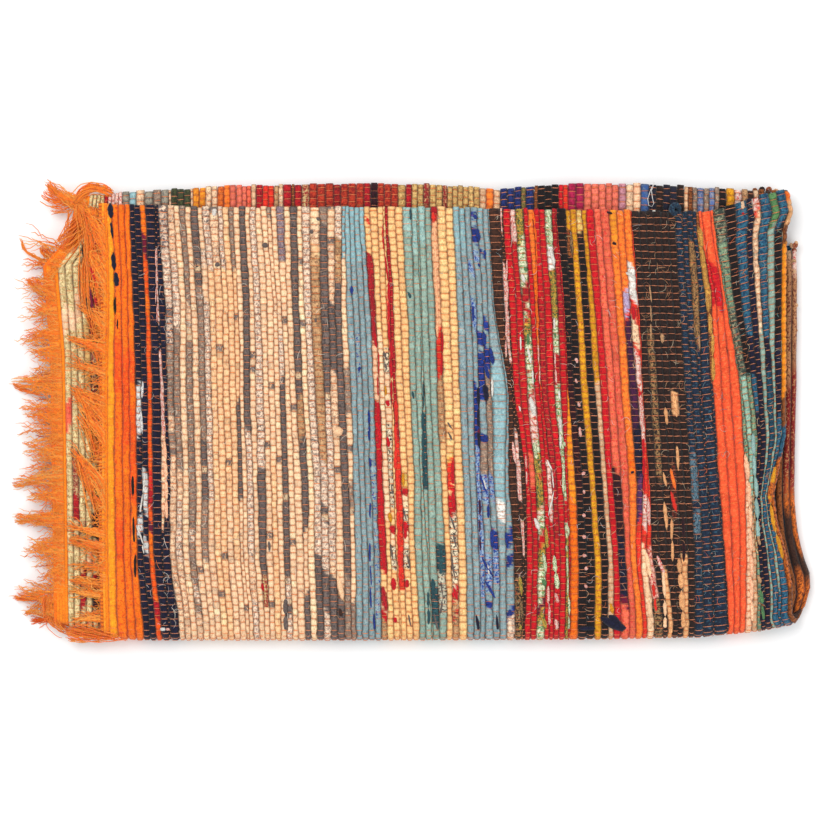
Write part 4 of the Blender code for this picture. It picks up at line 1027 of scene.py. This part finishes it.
ROPES_OUTER = """
46 7 6 21.5 21 -331 99 -337 129 -342 159 -345 186 -353 209 -358 221
30 6 4 21.5 21 -329 159 -333 182 -336 201 -339 218
24 5 4 21.5 21 -328 207 -340 212 -351 216 -358 221
34 8 6 21.5 20 -329 70 -336 95 -345 113 -349 150 -345 182
20 6 4 21.5 20 -328 33 -334 63 -349 72 -366 77
26 7 5 21.5 20 -328 -31 -336 -10 -349 10 -364 24
22 7 4 21.5 20 -328 -63 -337 -44 -345 -20 -358 -1
30 8 5 21.5 20 -328 -116 -338 -93 -349 -68 -360 -48
16 5 4 21.5 20 -328 -159 -340 -146 -355 -139 -368 -137
18 5 4 21.5 20 -328 -190 -338 -182 -353 -180 -367 -180
60 9 8 21 17 -300 -235 -323 -236 -340 -237 -358 -237 -372 -234
26 9 7 21 18 -326 -214 -338 -218 -351 -222 -368 -227
"""
ROPES_INNER = """
34 3 12 17 9 -355 227 -366 226 -377 227 -385 231 -393 238
14 3 5 17 9 -358 229 -368 227 -379 233 -386 239 -390 246
12 3 9 17 9 -355 222 -366 218 -377 217 -388 219
64 6.5 5 19 19 -359 218 -354 228 -347 235 -337 237 -327 235 -317 230
16 5 3 12 4 -379 169 -385 167 -392 165 -396 171 -398 177
60 11 12 19.5 18.5 -351 212 -359 195 -365 182 -372 169
14 4 4 16 9 -349 197 -358 188 -366 178 -370 167
12 4 5 14 9 -349 186 -362 186 -368 176 -360 169
10 3 5 12 5 -381 159 -385 167 -392 173 -398 176
8 3 2 12 3 -389 159 -402 163 -415 171 -420 189
8 3 2 12 3 -389 118 -402 129 -409 137 -412 145
8 2 3 10 2 -392 16 -406 20 -419 24 -430 30
8 2 3 10 2 -394 -76 -409 -78 -421 -80 -429 -80
8 2 3 10 2 -394 -116 -406 -116 -417 -119 -427 -118
12 3 4 10 2 -394 -197 -406 -201 -417 -201 -430 -199
10 3 4 10 2 -394 -205 -404 -212 -411 -215 -415 -214
44 7 8 18 12 -389 -193 -387 -207 -382 -220 -375 -229 -362 -235
20 6 6 17 8 -377 -201 -381 -214 -377 -225 -368 -231
"""


def height_a(x0, x):
    """From on top of the outer header down to the end of the layer below."""
    share = np.clip((x0 - 7.0 - x) / 12.0, 0, 1)
    return MID_HEIGHT + OUTER + 1.9 + (19.85 - MID_HEIGHT - OUTER) * share


def height_b(x0, x):
    """From on top of the header down to the floor, as seen from where a thread starts."""
    return MID_HEIGHT + INNER + 1.9 - 10.4 * np.clip((x0 - 12.5 - x) / 38.0, 0, 1.28)


def under_threads(root_at, half, seed, number, length):
    """The fringe goes on round the bottom bend and along the underside, where it lies flat."""
    paths, radii, colours = [], [], []
    dice = np.random.default_rng(seed)
    tints = linear(((250, 125, 25), (236, 92, 20), (215, 70, 20)))
    level = OUTER if half == "outer" else INNER
    for at in np.linspace(1.38, 2.94, number):
        at = at + dice.normal(0, 0.01)
        x0 = float(root_at(np.array(min(at, 1.0)))) - 7.0
        swing = np.clip(at - 1, 0, 1) * math.pi
        bottom = float(read_line(BOTTOM, x0)) + MID_HEIGHT
        middle = bottom + (BACK_A - bottom) * max(at - 2, 0)
        y0 = middle - level * math.sin(swing)
        z0 = MID_HEIGHT + level * math.cos(swing)
        x = x0 - length * dice.uniform(0.6, 1.0) * step
        y = y0 + dice.normal(0, 3.5) * step ** 2 + 0.8 * np.sin(36 * step + dice.uniform(0, 6))
        z = z0 + (1.2 - z0) * np.minimum(step * 1.6, 1) + 0.3 * np.cos(30 * step)
        paths.append(in_frame(x, np.maximum(y, FOREMOST), np.maximum(z, LOWEST)))
        radii.append(dice.uniform(0.4, 0.6))
        colours.append(tints[dice.integers(0, 3)] * dice.normal(1.0, 0.1))
    return paths, radii, colours


fringe_yarn = yarn_material("fringe yarn")


def root_a(at):
    return eased(BANDS["end"], at) - 1.5


def root_b(at):
    return end_b(at) - 2.5


for name, node, bunches, root_at, height_at, seed, number, spread, crimp, half, lines, loose in (
        ("threads_outer", "fringe_a", BUNCHES_A, root_a, height_a, 11, 17, 1.9, 0.6, "outer",
         ROPES_OUTER, (300, 214, 9, 30, 0.7)),
        ("threads_inner", "fringe_b", BUNCHES_B, root_b, height_b, 12, 12, 4.2, 1.1, "inner",
         ROPES_INNER, (530, 163, 14, 46, 1.2))):
    paths, radii, colours = loose_threads(bunches, root_at, height_at, seed, number, spread, crimp)
    for more in (under_threads(root_at, half, seed + 5, 80, 34.0), ropes(lines, seed + 7),
                 curtain(root_at, height_at, seed + 9, *loose)):
        paths, radii, colours = paths + more[0], radii + more[1], colours + more[2]
    piece = put_rods(name, paths, np.array(radii) * 0.001, 3, np.clip(colours, 0, 1))
    put_material(piece, fringe_yarn)
    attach(piece, "root")
    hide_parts(node)

# ---------------------------------------------------------------------------------------------
# Loose fibres: the rags are torn, not hemmed, so their raw edges shed short bent threads that lie
# over the ribs, thickest in the beige, the dark and the mottled runs.
FRAYED = (
    # from, to along the warps; how many; length; three tints
    (-262, -70, 500, 10, ((252, 235, 215), (215, 170, 130), (140, 125, 118))),
    (-262, -205, 340, 11, ((252, 240, 225), (200, 155, 125), (105, 98, 98))),
    (-292, -252, 130, 9, ((235, 225, 220), (60, 60, 90), (235, 120, 50))),
    (-50, 100, 180, 7, ((240, 225, 200), (220, 120, 70), (150, 185, 190))),
    (100, 170, 180, 8, ((245, 215, 205), (225, 60, 50), (205, 200, 150))),
    (170, 250, 190, 8, ((240, 190, 150), (215, 110, 50), (230, 215, 210))),
    (245, 305, 260, 9, ((225, 160, 110), (210, 190, 160), (150, 90, 60))),
    (300, 350, 170, 8, ((210, 200, 180), (110, 150, 165), (240, 110, 60))),
    (348, 398, 190, 8, ((215, 200, 160), (110, 160, 150), (225, 130, 60))))


def over_ribs(x, down, lift):
    """A point lying on the ribs' tops, from its place along the warps and down from the top.
    Past the header it sinks to the fringe."""
    sink = np.clip((-325 - x) / 10, 0, 1) * (MID_HEIGHT + OUTER - 20.0)
    return fold(x, RIB_RISE + lift - sink, np.clip(down / FRONT_LENGTH, 0, 1))


dice = np.random.default_rng(61)
paths, radii, colours = [], [], []
for from_x, to_x, number, length, tints in FRAYED:
    tints = linear(tints)
    for _ in range(number):
        x0, down0 = dice.uniform(from_x, to_x), dice.uniform(4, FRONT_LENGTH - 4)
        way = dice.choice((0.0, 1.57)) + dice.normal(0, 0.55)
        reach = length * dice.uniform(0.4, 1.3)
        grow = np.linspace(-0.5, 0.5, 5)
        bow = dice.normal(0, 0.22) * reach * (0.25 - grow ** 2) * 4
        x = x0 + reach * grow * math.sin(way) + bow * math.cos(way)
        down = down0 + reach * grow * math.cos(way) - bow * math.sin(way)
        x = np.minimum(x, bend_centre(np.clip(down / FRONT_LENGTH, 0, 1)))
        lift = -0.1 + dice.uniform(0.1, 0.5) * (1 - (2 * grow) ** 2)
        paths.append(over_ribs(x, down, lift))
        radii.append(dice.uniform(0.10, 0.24))
        colours.append(tints[dice.integers(0, 3)] * dice.normal(1.0, 0.08))
# One white thread hangs in a long loop over the top strip.
loop_height = MID_HEIGHT + INNER + 3.1
for loop in (((258, 244), (254, 235), (251, 226), (252, 219), (255.5, 217.5)),
             ((255.5, 217.5), (257.5, 221), (256, 227), (255, 235), (258.5, 243))):
    x, y = np.array(loop, float).T
    paths.append(in_frame(x, y, np.full(5, loop_height)))
    radii.append(0.45)
    colours.append(linear((245, 240, 235)))
fibres = put_rods("loose_fibres", paths, np.array(radii) * 0.001, 3, np.clip(colours, 0, 1))
put_material(fibres, fringe_yarn)

# ---------------------------------------------------------------------------------------------
# Stray ends and slivers: narrow scraps of rag that slipped out of their ribs while the rug was
# beaten, and lie as thin tapering tongues on top of them.
# Where each one starts and ends, along the warps and down the ribs, its width and its rag.
SLIVERS = """
-337 31 -338 54 3.2 crimson; -342 68 -335 90 4.8 red; -344 88 -339 118 4.3 wine;
-338 96 -333 124 4.8 crimson; -346 99 -343 114 3.2 black; -333 35 -332 47 2.7 crimson;
-351 41 -349 59 2.7 black; -321 0 -320 16 6.4 navy; -320 20 -319 37 3.2 navy;
-318 52 -316 71 6.9 navy; -315 73 -314 89 6.9 navy; -315 99 -314 118 3.2 black;
-313 122 -312 135 2.1 black; -297 286 -296 312 3.2 black; -296 328 -295 360 3.2 black;
-294 370 -293 396 3.2 black; -286 187 -287 205 3.2 fluff; -288 218 -286 243 3.2 fluff;
-284 283 -288 329 2.1 white; -293 339 -286 360 2.1 white; -286 360 -284 370 2.1 white;
-272 46 -271 124 1.7 rose; -267 168 -264 248 2.1 rose; -263 249 -260 333 4.8 peach;
-268 461 -262 464 4.3 fluff; -261 450 -257 458 3.2 rose; -210 2 -209 10 7.4 white;
-206 59 -206 64 6.4 slate; -156 38 -156 44 6.4 slate; -152 355 -152 367 3.7 slate;
-159 400 -158 409 3.2 red; -134 416 -134 452 5.3 slate; -100 11 -100 15 4.3 slate;
-107 24 -106 29 4.3 slate; -102 118 -102 123 3.2 slate; -84 240 -73 238 9.6 cream;
-79 392 -74 418 7.4 cream; -77 426 -74 436 6.4 coffee; -64 84 -64 93 4.3 royal;
-56 169 -56 177 3.2 royal; -46 216 -45 249 2.7 royal; -45 267 -44 277 3.2 royal;
-44 313 -44 332 2.7 royal; -45 355 -44 428 2.6 royal; -41 431 -39 454 3.2 royal;
-47 12 -46 16 3.7 poppy; -46 48 -43 88 4.3 crimson; -43 88 -39 142 4.3 crimson;
-40 132 -39 151 4.3 red; -36 154 -36 204 2.1 red; -36 207 -35 257 5.3 red;
-35 259 -34 299 4.8 red; -33 300 -32 338 4.8 red; -31 340 -30 386 5.3 red;
-31 402 -28 430 5.3 crimson; -30 154 -26 164 2.7 slate; -29 166 -26 174 2.3 slate;
-23 132 -23 178 2.3 red; -28 190 -27 201 3.7 mustard; -27 206 -24 212 5.3 red;
-26 244 -24 257 4.8 red; -22 295 -19 310 2.3 slate; -24 325 -22 336 5.3 mustard;
-21 339 -20 347 6.4 red; -24 358 -20 378 2.3 slate; -20 394 -19 408 6.4 red;
-18 436 -17 442 5.3 red; -31 18 -29 49 2.1 red; -29 49 -25 80 2.8 red; -25 80 -24 142 3.6 red;
-22 142 -22 204 3.8 red; -17 205 -17 280 4.7 poppy; -16 282 -12 405 5.3 poppy;
-9 283 -9 298 5.3 mustard; -9 300 -7 306 5.3 red; -10 320 -6 334 2.1 slate; -7 337 -7 354 4.8 red;
-7 365 -3 386 2.1 slate; -5 396 -5 405 5.3 red; -4 432 -1 447 2.1 slate; -2 2 -2 14 2.6 petrol;
-4 90 -1 98 3.2 petrol; 0 196 2 205 3.2 petrol; 11 218 13 299 3.8 petrol;
12 185 12 216 1.7 petrol; 22 5 23 16 5.3 poppy; 17 408 18 445 3.8 petrol;
22 394 23 418 5.3 petrol; 30 359 31 392 5.3 petrol; 30 396 33 418 2.3 slate;
32 418 31 433 2.3 slate; 23 431 28 454 2.6 slate; 24 18 27 139 3.2 salmonpale;
32 132 32 179 3.4 red; 37 227 44 237 2.3 slate; 38 239 43 248 2.3 slate; 43 270 44 296 4.7 red;
43 302 45 326 4.7 red; 41 329 46 344 2.3 slate; 44 348 47 363 2.3 slate; 41 367 46 395 2.3 slate;
44 404 48 419 4.7 red; 70 190 70 257 3.2 navy; 71 236 71 243 3.2 wine; 72 310 72 367 2.8 plum;
67 7 68 12 5.3 royal; 70 22 72 36 4.8 royal; 77 45 79 50 4.3 royal; 70 59 71 63 3.2 royal;
65 102 66 123 3.2 royal; 76 132 77 147 6.4 royal; 74 156 76 163 5.3 royal;
77 166 82 183 6.4 royal; 77 188 80 206 7.4 navy; 77 242 79 250 6.4 royal; 72 284 81 307 3.2 royal;
76 288 79 303 2.6 white; 81 316 81 331 3.6 royal; 83 149 87 168 5.3 royal;
85 180 85 202 3.2 white; 85 344 86 362 4.7 royal; 100 346 101 360 4.9 royal;
102 371 105 380 5.3 royal; 104 428 105 436 4.9 royal; 74 372 87 394 3.6 royal;
79 378 83 392 3.2 white; 77 397 89 417 3.6 royal; 68 433 71 456 3.8 navy; 90 431 93 460 3.2 navy;
101 54 101 99 2.6 rose; 100 99 100 161 2.6 rose; 107 249 110 273 3.6 rose;
112 276 114 313 3.2 rose; 118 333 119 369 1.9 rose; 114 392 116 414 4.3 brocade;
115 418 117 439 4.3 tweed; 115 444 116 460 4.3 brocade; 107 10 107 34 3.2 rose;
115 132 116 156 2.1 white; 114 211 115 217 2.1 white; 121 262 122 296 2.1 rose;
114 -1 117 29 5.3 brocade; 119 62 121 67 3.6 grass; 117 70 120 79 4.3 white;
123 132 124 146 4.3 grass; 123 148 126 167 4.3 white; 128 172 129 188 3.2 white;
129 181 130 186 2.3 grass; 126 201 131 223 6.4 white; 130 249 131 263 4.3 posy;
131 266 134 281 5.3 brocade; 133 289 136 318 5.3 brocade; 143 268 149 280 1.7 white;
149 280 151 301 1.7 white; 151 301 145 329 1.7 white; 130 331 135 344 6.4 white;
142 340 144 364 4.9 brocade; 139 367 142 389 4.7 posy; 139 396 142 404 4.7 grass;
145 403 146 445 3.6 rose; 137 430 142 453 5.3 brocade; 129 2 132 35 2.6 orange;
132 35 133 142 1.9 orange; 134 144 136 188 1.9 rose; 145 2 148 39 4.9 posy;
147 41 151 61 4.9 white; 149 65 152 114 3.4 brocade; 151 116 152 129 2.6 white;
152 132 152 139 2.6 grass; 152 153 153 188 2.3 rose; 156 194 157 204 3.4 white;
157 222 158 257 3.6 white; 161 249 163 254 3.6 posy; 161 275 162 305 3.2 posy;
165 337 167 349 3.8 posy; 164 360 165 367 2.6 posy; 165 373 167 456 2.6 posy;
151 371 155 408 5.3 posy; 152 411 155 422 5.3 rose; 152 438 155 452 5.3 rose;
169 24 170 50 3.6 tweed; 174 159 176 165 3.8 rose; 174 181 176 187 3.2 rose;
177 206 178 212 3.6 rose; 178 233 180 244 4.3 rose; 182 281 182 285 4.3 rose;
182 301 182 305 4.3 rose; 182 326 183 330 4.3 rose; 182 349 183 353 4.3 rose;
183 369 184 373 4.3 rose; 184 383 184 387 4.3 rose; 184 402 185 406 4.3 rose;
211 422 213 434 5.3 mustard; 200 437 228 453 11.7 navy; 209 435 223 447 8.5 navy;
177 461 195 461 6.4 navy; 206 2 213 4 4.3 wineblack; 213 35 217 37 4.3 wineblack;
227 67 238 73 4.7 white; 234 281 235 283 4.3 navy; 225 88 229 107 5.3 lilac;
234 85 237 95 6.4 white; 235 103 236 119 4.9 red; 243 198 244 236 3.8 rose;
246 244 247 307 3.8 red; 251 310 253 340 4.7 rose; 248 367 253 397 7.0 cream;
250 399 253 459 6.4 cream; 256 401 259 434 4.3 poppy; 252 79 254 99 2.1 tan;
253 101 254 140 2.1 tan; 265 132 267 143 4.3 tan; 278 197 281 223 6.0 peachtan;
269 212 272 231 4.7 peachtan; 267 282 270 298 4.7 peachtan; 281 251 283 281 4.7 peachtan;
268 314 271 345 4.9 peachtan; 276 332 277 379 3.8 peachtan; 275 278 280 301 4.7 tangerine;
275 303 281 325 4.7 poppy; 288 329 289 380 4.3 wineblack; 260 371 268 393 5.3 rose;
267 386 269 418 4.7 cream; 268 420 269 456 4.7 cream; 284 375 286 408 7.4 peachtan;
286 410 289 455 7.4 peachtan; 255 -22 259 -7 1.5 white; 296 35 299 54 6.4 tweedtan;
299 56 304 135 5.3 tweedtan; 305 132 306 150 3.2 tan; 306 17 313 84 5.7 mustardtan;
313 86 318 136 5.7 mustardtan; 319 133 320 186 4.9 mustardtan; 300 275 301 312 4.3 midnightpale;
301 326 305 349 5.7 midnightpale; 354 270 358 298 6.4 peach; 358 301 360 376 6.0 peach;
360 378 361 452 5.7 peach; 367 356 370 370 4.3 tan; 367 401 370 410 4.3 tan;
362 250 368 365 5.3 lagoonpale; 370 417 373 450 5.3 grass; 351 -1 352 9 5.3 oat;
352 12 352 14 3.6 red; 387 299 392 329 6.4 tobaccoorange; 390 290 401 329 5.3 mustard;
401 329 406 360 5.3 mustard; 408 361 413 390 5.3 mustard
"""
SCRAP_LENGTH = 22
PINCH_STEP = 7.36


def put_rag(piece, seconds, share):
    """Rag cloth for rods: the second dye of each, and how much of the rod it takes."""
    corners = len(piece.data.vertices) // len(seconds)
    put_colour(piece, "Fleck", np.repeat(np.array(seconds), corners, 0))
    put_vector(piece, "FleckShareAndShade", np.tile((share, 0.0, 0.0), (len(piece.data.vertices), 1)))
    put_material(piece, outer_rag)


paths, radii, colours, seconds = [], [], [], []
for sliver in SLIVERS.split(";"):
    *numbers, rag_name = sliver.split()
    x0, down0, x1, down1, wide = (float(number) for number in numbers)
    # A long one is laid as several scraps, end to end.
    scraps = max(1, int(round(math.hypot(x1 - x0, down1 - down0) / SCRAP_LENGTH)))
    for part in range(scraps):
        grow = (part + np.linspace(0, 1, 8)) / scraps
        x = x0 + (x1 - x0) * grow + dice.normal(0, 0.35, 8).cumsum() * 0.5
        down = down0 + (down1 - down0) * grow
        lift = -0.7 + 0.6 * np.sin(np.linspace(0, 3.14, 8)) + dice.normal(0, 0.08, 8)
        x = np.minimum(x, bend_centre(np.clip(down / FRONT_LENGTH, 0, 1)))
        paths.append(over_ribs(x, down, lift))
        beaten = 0.72 + 0.28 * np.abs(np.sin(math.pi * down / PINCH_STEP + dice.uniform(0, 3)))
        ends = np.array((0.35, 0.75, 1, 1, 1, 1, 0.75, 0.35))
        radius = wide * 0.5 * dice.uniform(0.8, 1.1) * beaten * ends
        radii.append(radius * dice.uniform(0.8, 1.1, 8))
        rag = RAGS[rag_name]
        colours.append(np.clip(linear(rag[:3]) * dice.normal(1.0, 0.08), 0, 1))
        seconds.append(linear(rag[3:6]))
slivers = put_rods("rag_slivers", paths, np.array(radii) * 0.001, 5, colours, 0.55)
put_rag(slivers, seconds, 0.45)

# A knotted end of rag sticks out at the right fold, and smaller lumps of it above and below.
# Each is three turns of rag, given by its place, its size, its height and the rag.
KNOBS = ((279.832, 214.396, 8.0, 25, "midnight"), (407.512, 178.22, 5.2, 10, "biscuit"),
         (408.576, 176.624, 3.2, 14, "brick"), (408.576, 171.304, 3.0, 8, "brick"),
         (406.98, 158.536, 4.2, 9, "tan"), (366.016, 235.144, 3.4, 12, "tobacco"),
         (373.464, 236.208, 3.6, 12, "bark"), (380.912, 236.208, 3.6, 12, "brick"),
         (388.36, 234.08, 3.6, 11, "biscuit"), (406.448, 148.96, 3.8, 9, "biscuit"),
         (408.576, 131.936, 3.0, 9, "tobaccofleck"), (409.64, 112.784, 3.0, 9, "biscuit"),
         (409.64, 86.184, 2.8, 9, "tobaccofleck"))
paths, radii, colours, seconds = [], [], [], []
for x0, y0, size, high, rag_name in KNOBS:
    for part in range(3):
        turn = np.linspace(0, 4.4, 10) + dice.uniform(0, 6.28)
        lean = dice.uniform(-0.6, 0.6)
        x = x0 + 0.5 * size * np.cos(turn)
        y = y0 + 0.55 * size * np.sin(turn)
        z = high + 0.5 * size * np.sin(turn + lean * 3) + (part - 1) * 1.2
        paths.append(in_frame(x, y, np.maximum(z, 2.0)))
        radii.append(0.00042 * size)
        colours.append(linear(RAGS[rag_name][:3]))
        seconds.append(linear(RAGS[rag_name][3:6]))
knobs = put_rods("rag_knobs", paths, radii, 6, colours)
put_rag(knobs, seconds, 0.4)
for piece in (fibres, slivers, knobs):
    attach(piece, "root")
    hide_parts("rug")

# The ribs are attached last, once all that is woven into them exists. The outer half lies on the
# inner one.
for piece, length in rug_pieces:
    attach(piece, "root")
    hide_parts("rug")

# ---------------------------------------------------------------------------------------------
# The floor, the light and the camera: a plain white floor under soft light from all round, seen
# from straight above.
bm = bmesh.new()
bmesh.ops.create_grid(bm, x_segments=1, y_segments=1, size=4.0)
floor_mesh = bpy.data.meshes.new("floor")
bm.to_mesh(floor_mesh)
bm.free()
floor = bpy.data.objects.new("floor", floor_mesh)
bpy.context.scene.collection.objects.link(floor)
paper = bpy.data.materials.new("floor white")
paper.use_nodes = True
paper_shader = paper.node_tree.nodes["Principled BSDF"]
paper_shader.inputs["Base Color"].default_value = (0.93, 0.93, 0.93, 1)
paper_shader.inputs["Roughness"].default_value = 0.9
floor_mesh.materials.append(paper)

bpy.context.scene.view_settings.view_transform = "Standard"
world = bpy.data.worlds.new("studio")
world.use_nodes = True
world.node_tree.nodes["Background"].inputs["Color"].default_value = (1, 1, 1, 1)
world.node_tree.nodes["Background"].inputs["Strength"].default_value = 0.85
bpy.context.scene.world = world
for name, place, turn, size, power in (
        ("soft above", (-0.7, 0.9, 2.0), (-0.42, -0.33, 0), 1.4, 24),
        ("fill right", (1.4, -0.6, 1.5), (0.38, 0.74, 0), 1.6, 8)):
    lamp = bpy.data.lights.new(name, "AREA")
    lamp.size = size
    lamp.energy = power
    light = bpy.data.objects.new(name, lamp)
    light.location = place
    light.rotation_euler = turn
    bpy.context.scene.collection.objects.link(light)

# The camera hangs 3 m over the cloth, on whose face the picture is 0.8778 m wide.
HANG, CLOTH_TOP, PICTURE_WIDTH = 3.0, 0.022, 0.8778
lens = bpy.data.cameras.new("camera")
lens.sensor_width = 36.0
lens.lens = 36.0 * HANG / PICTURE_WIDTH
camera = bpy.data.objects.new("camera", lens)
camera.location = (0.0006, -0.0014, HANG + CLOTH_TOP)
bpy.context.scene.collection.objects.link(camera)
bpy.context.scene.camera = camera
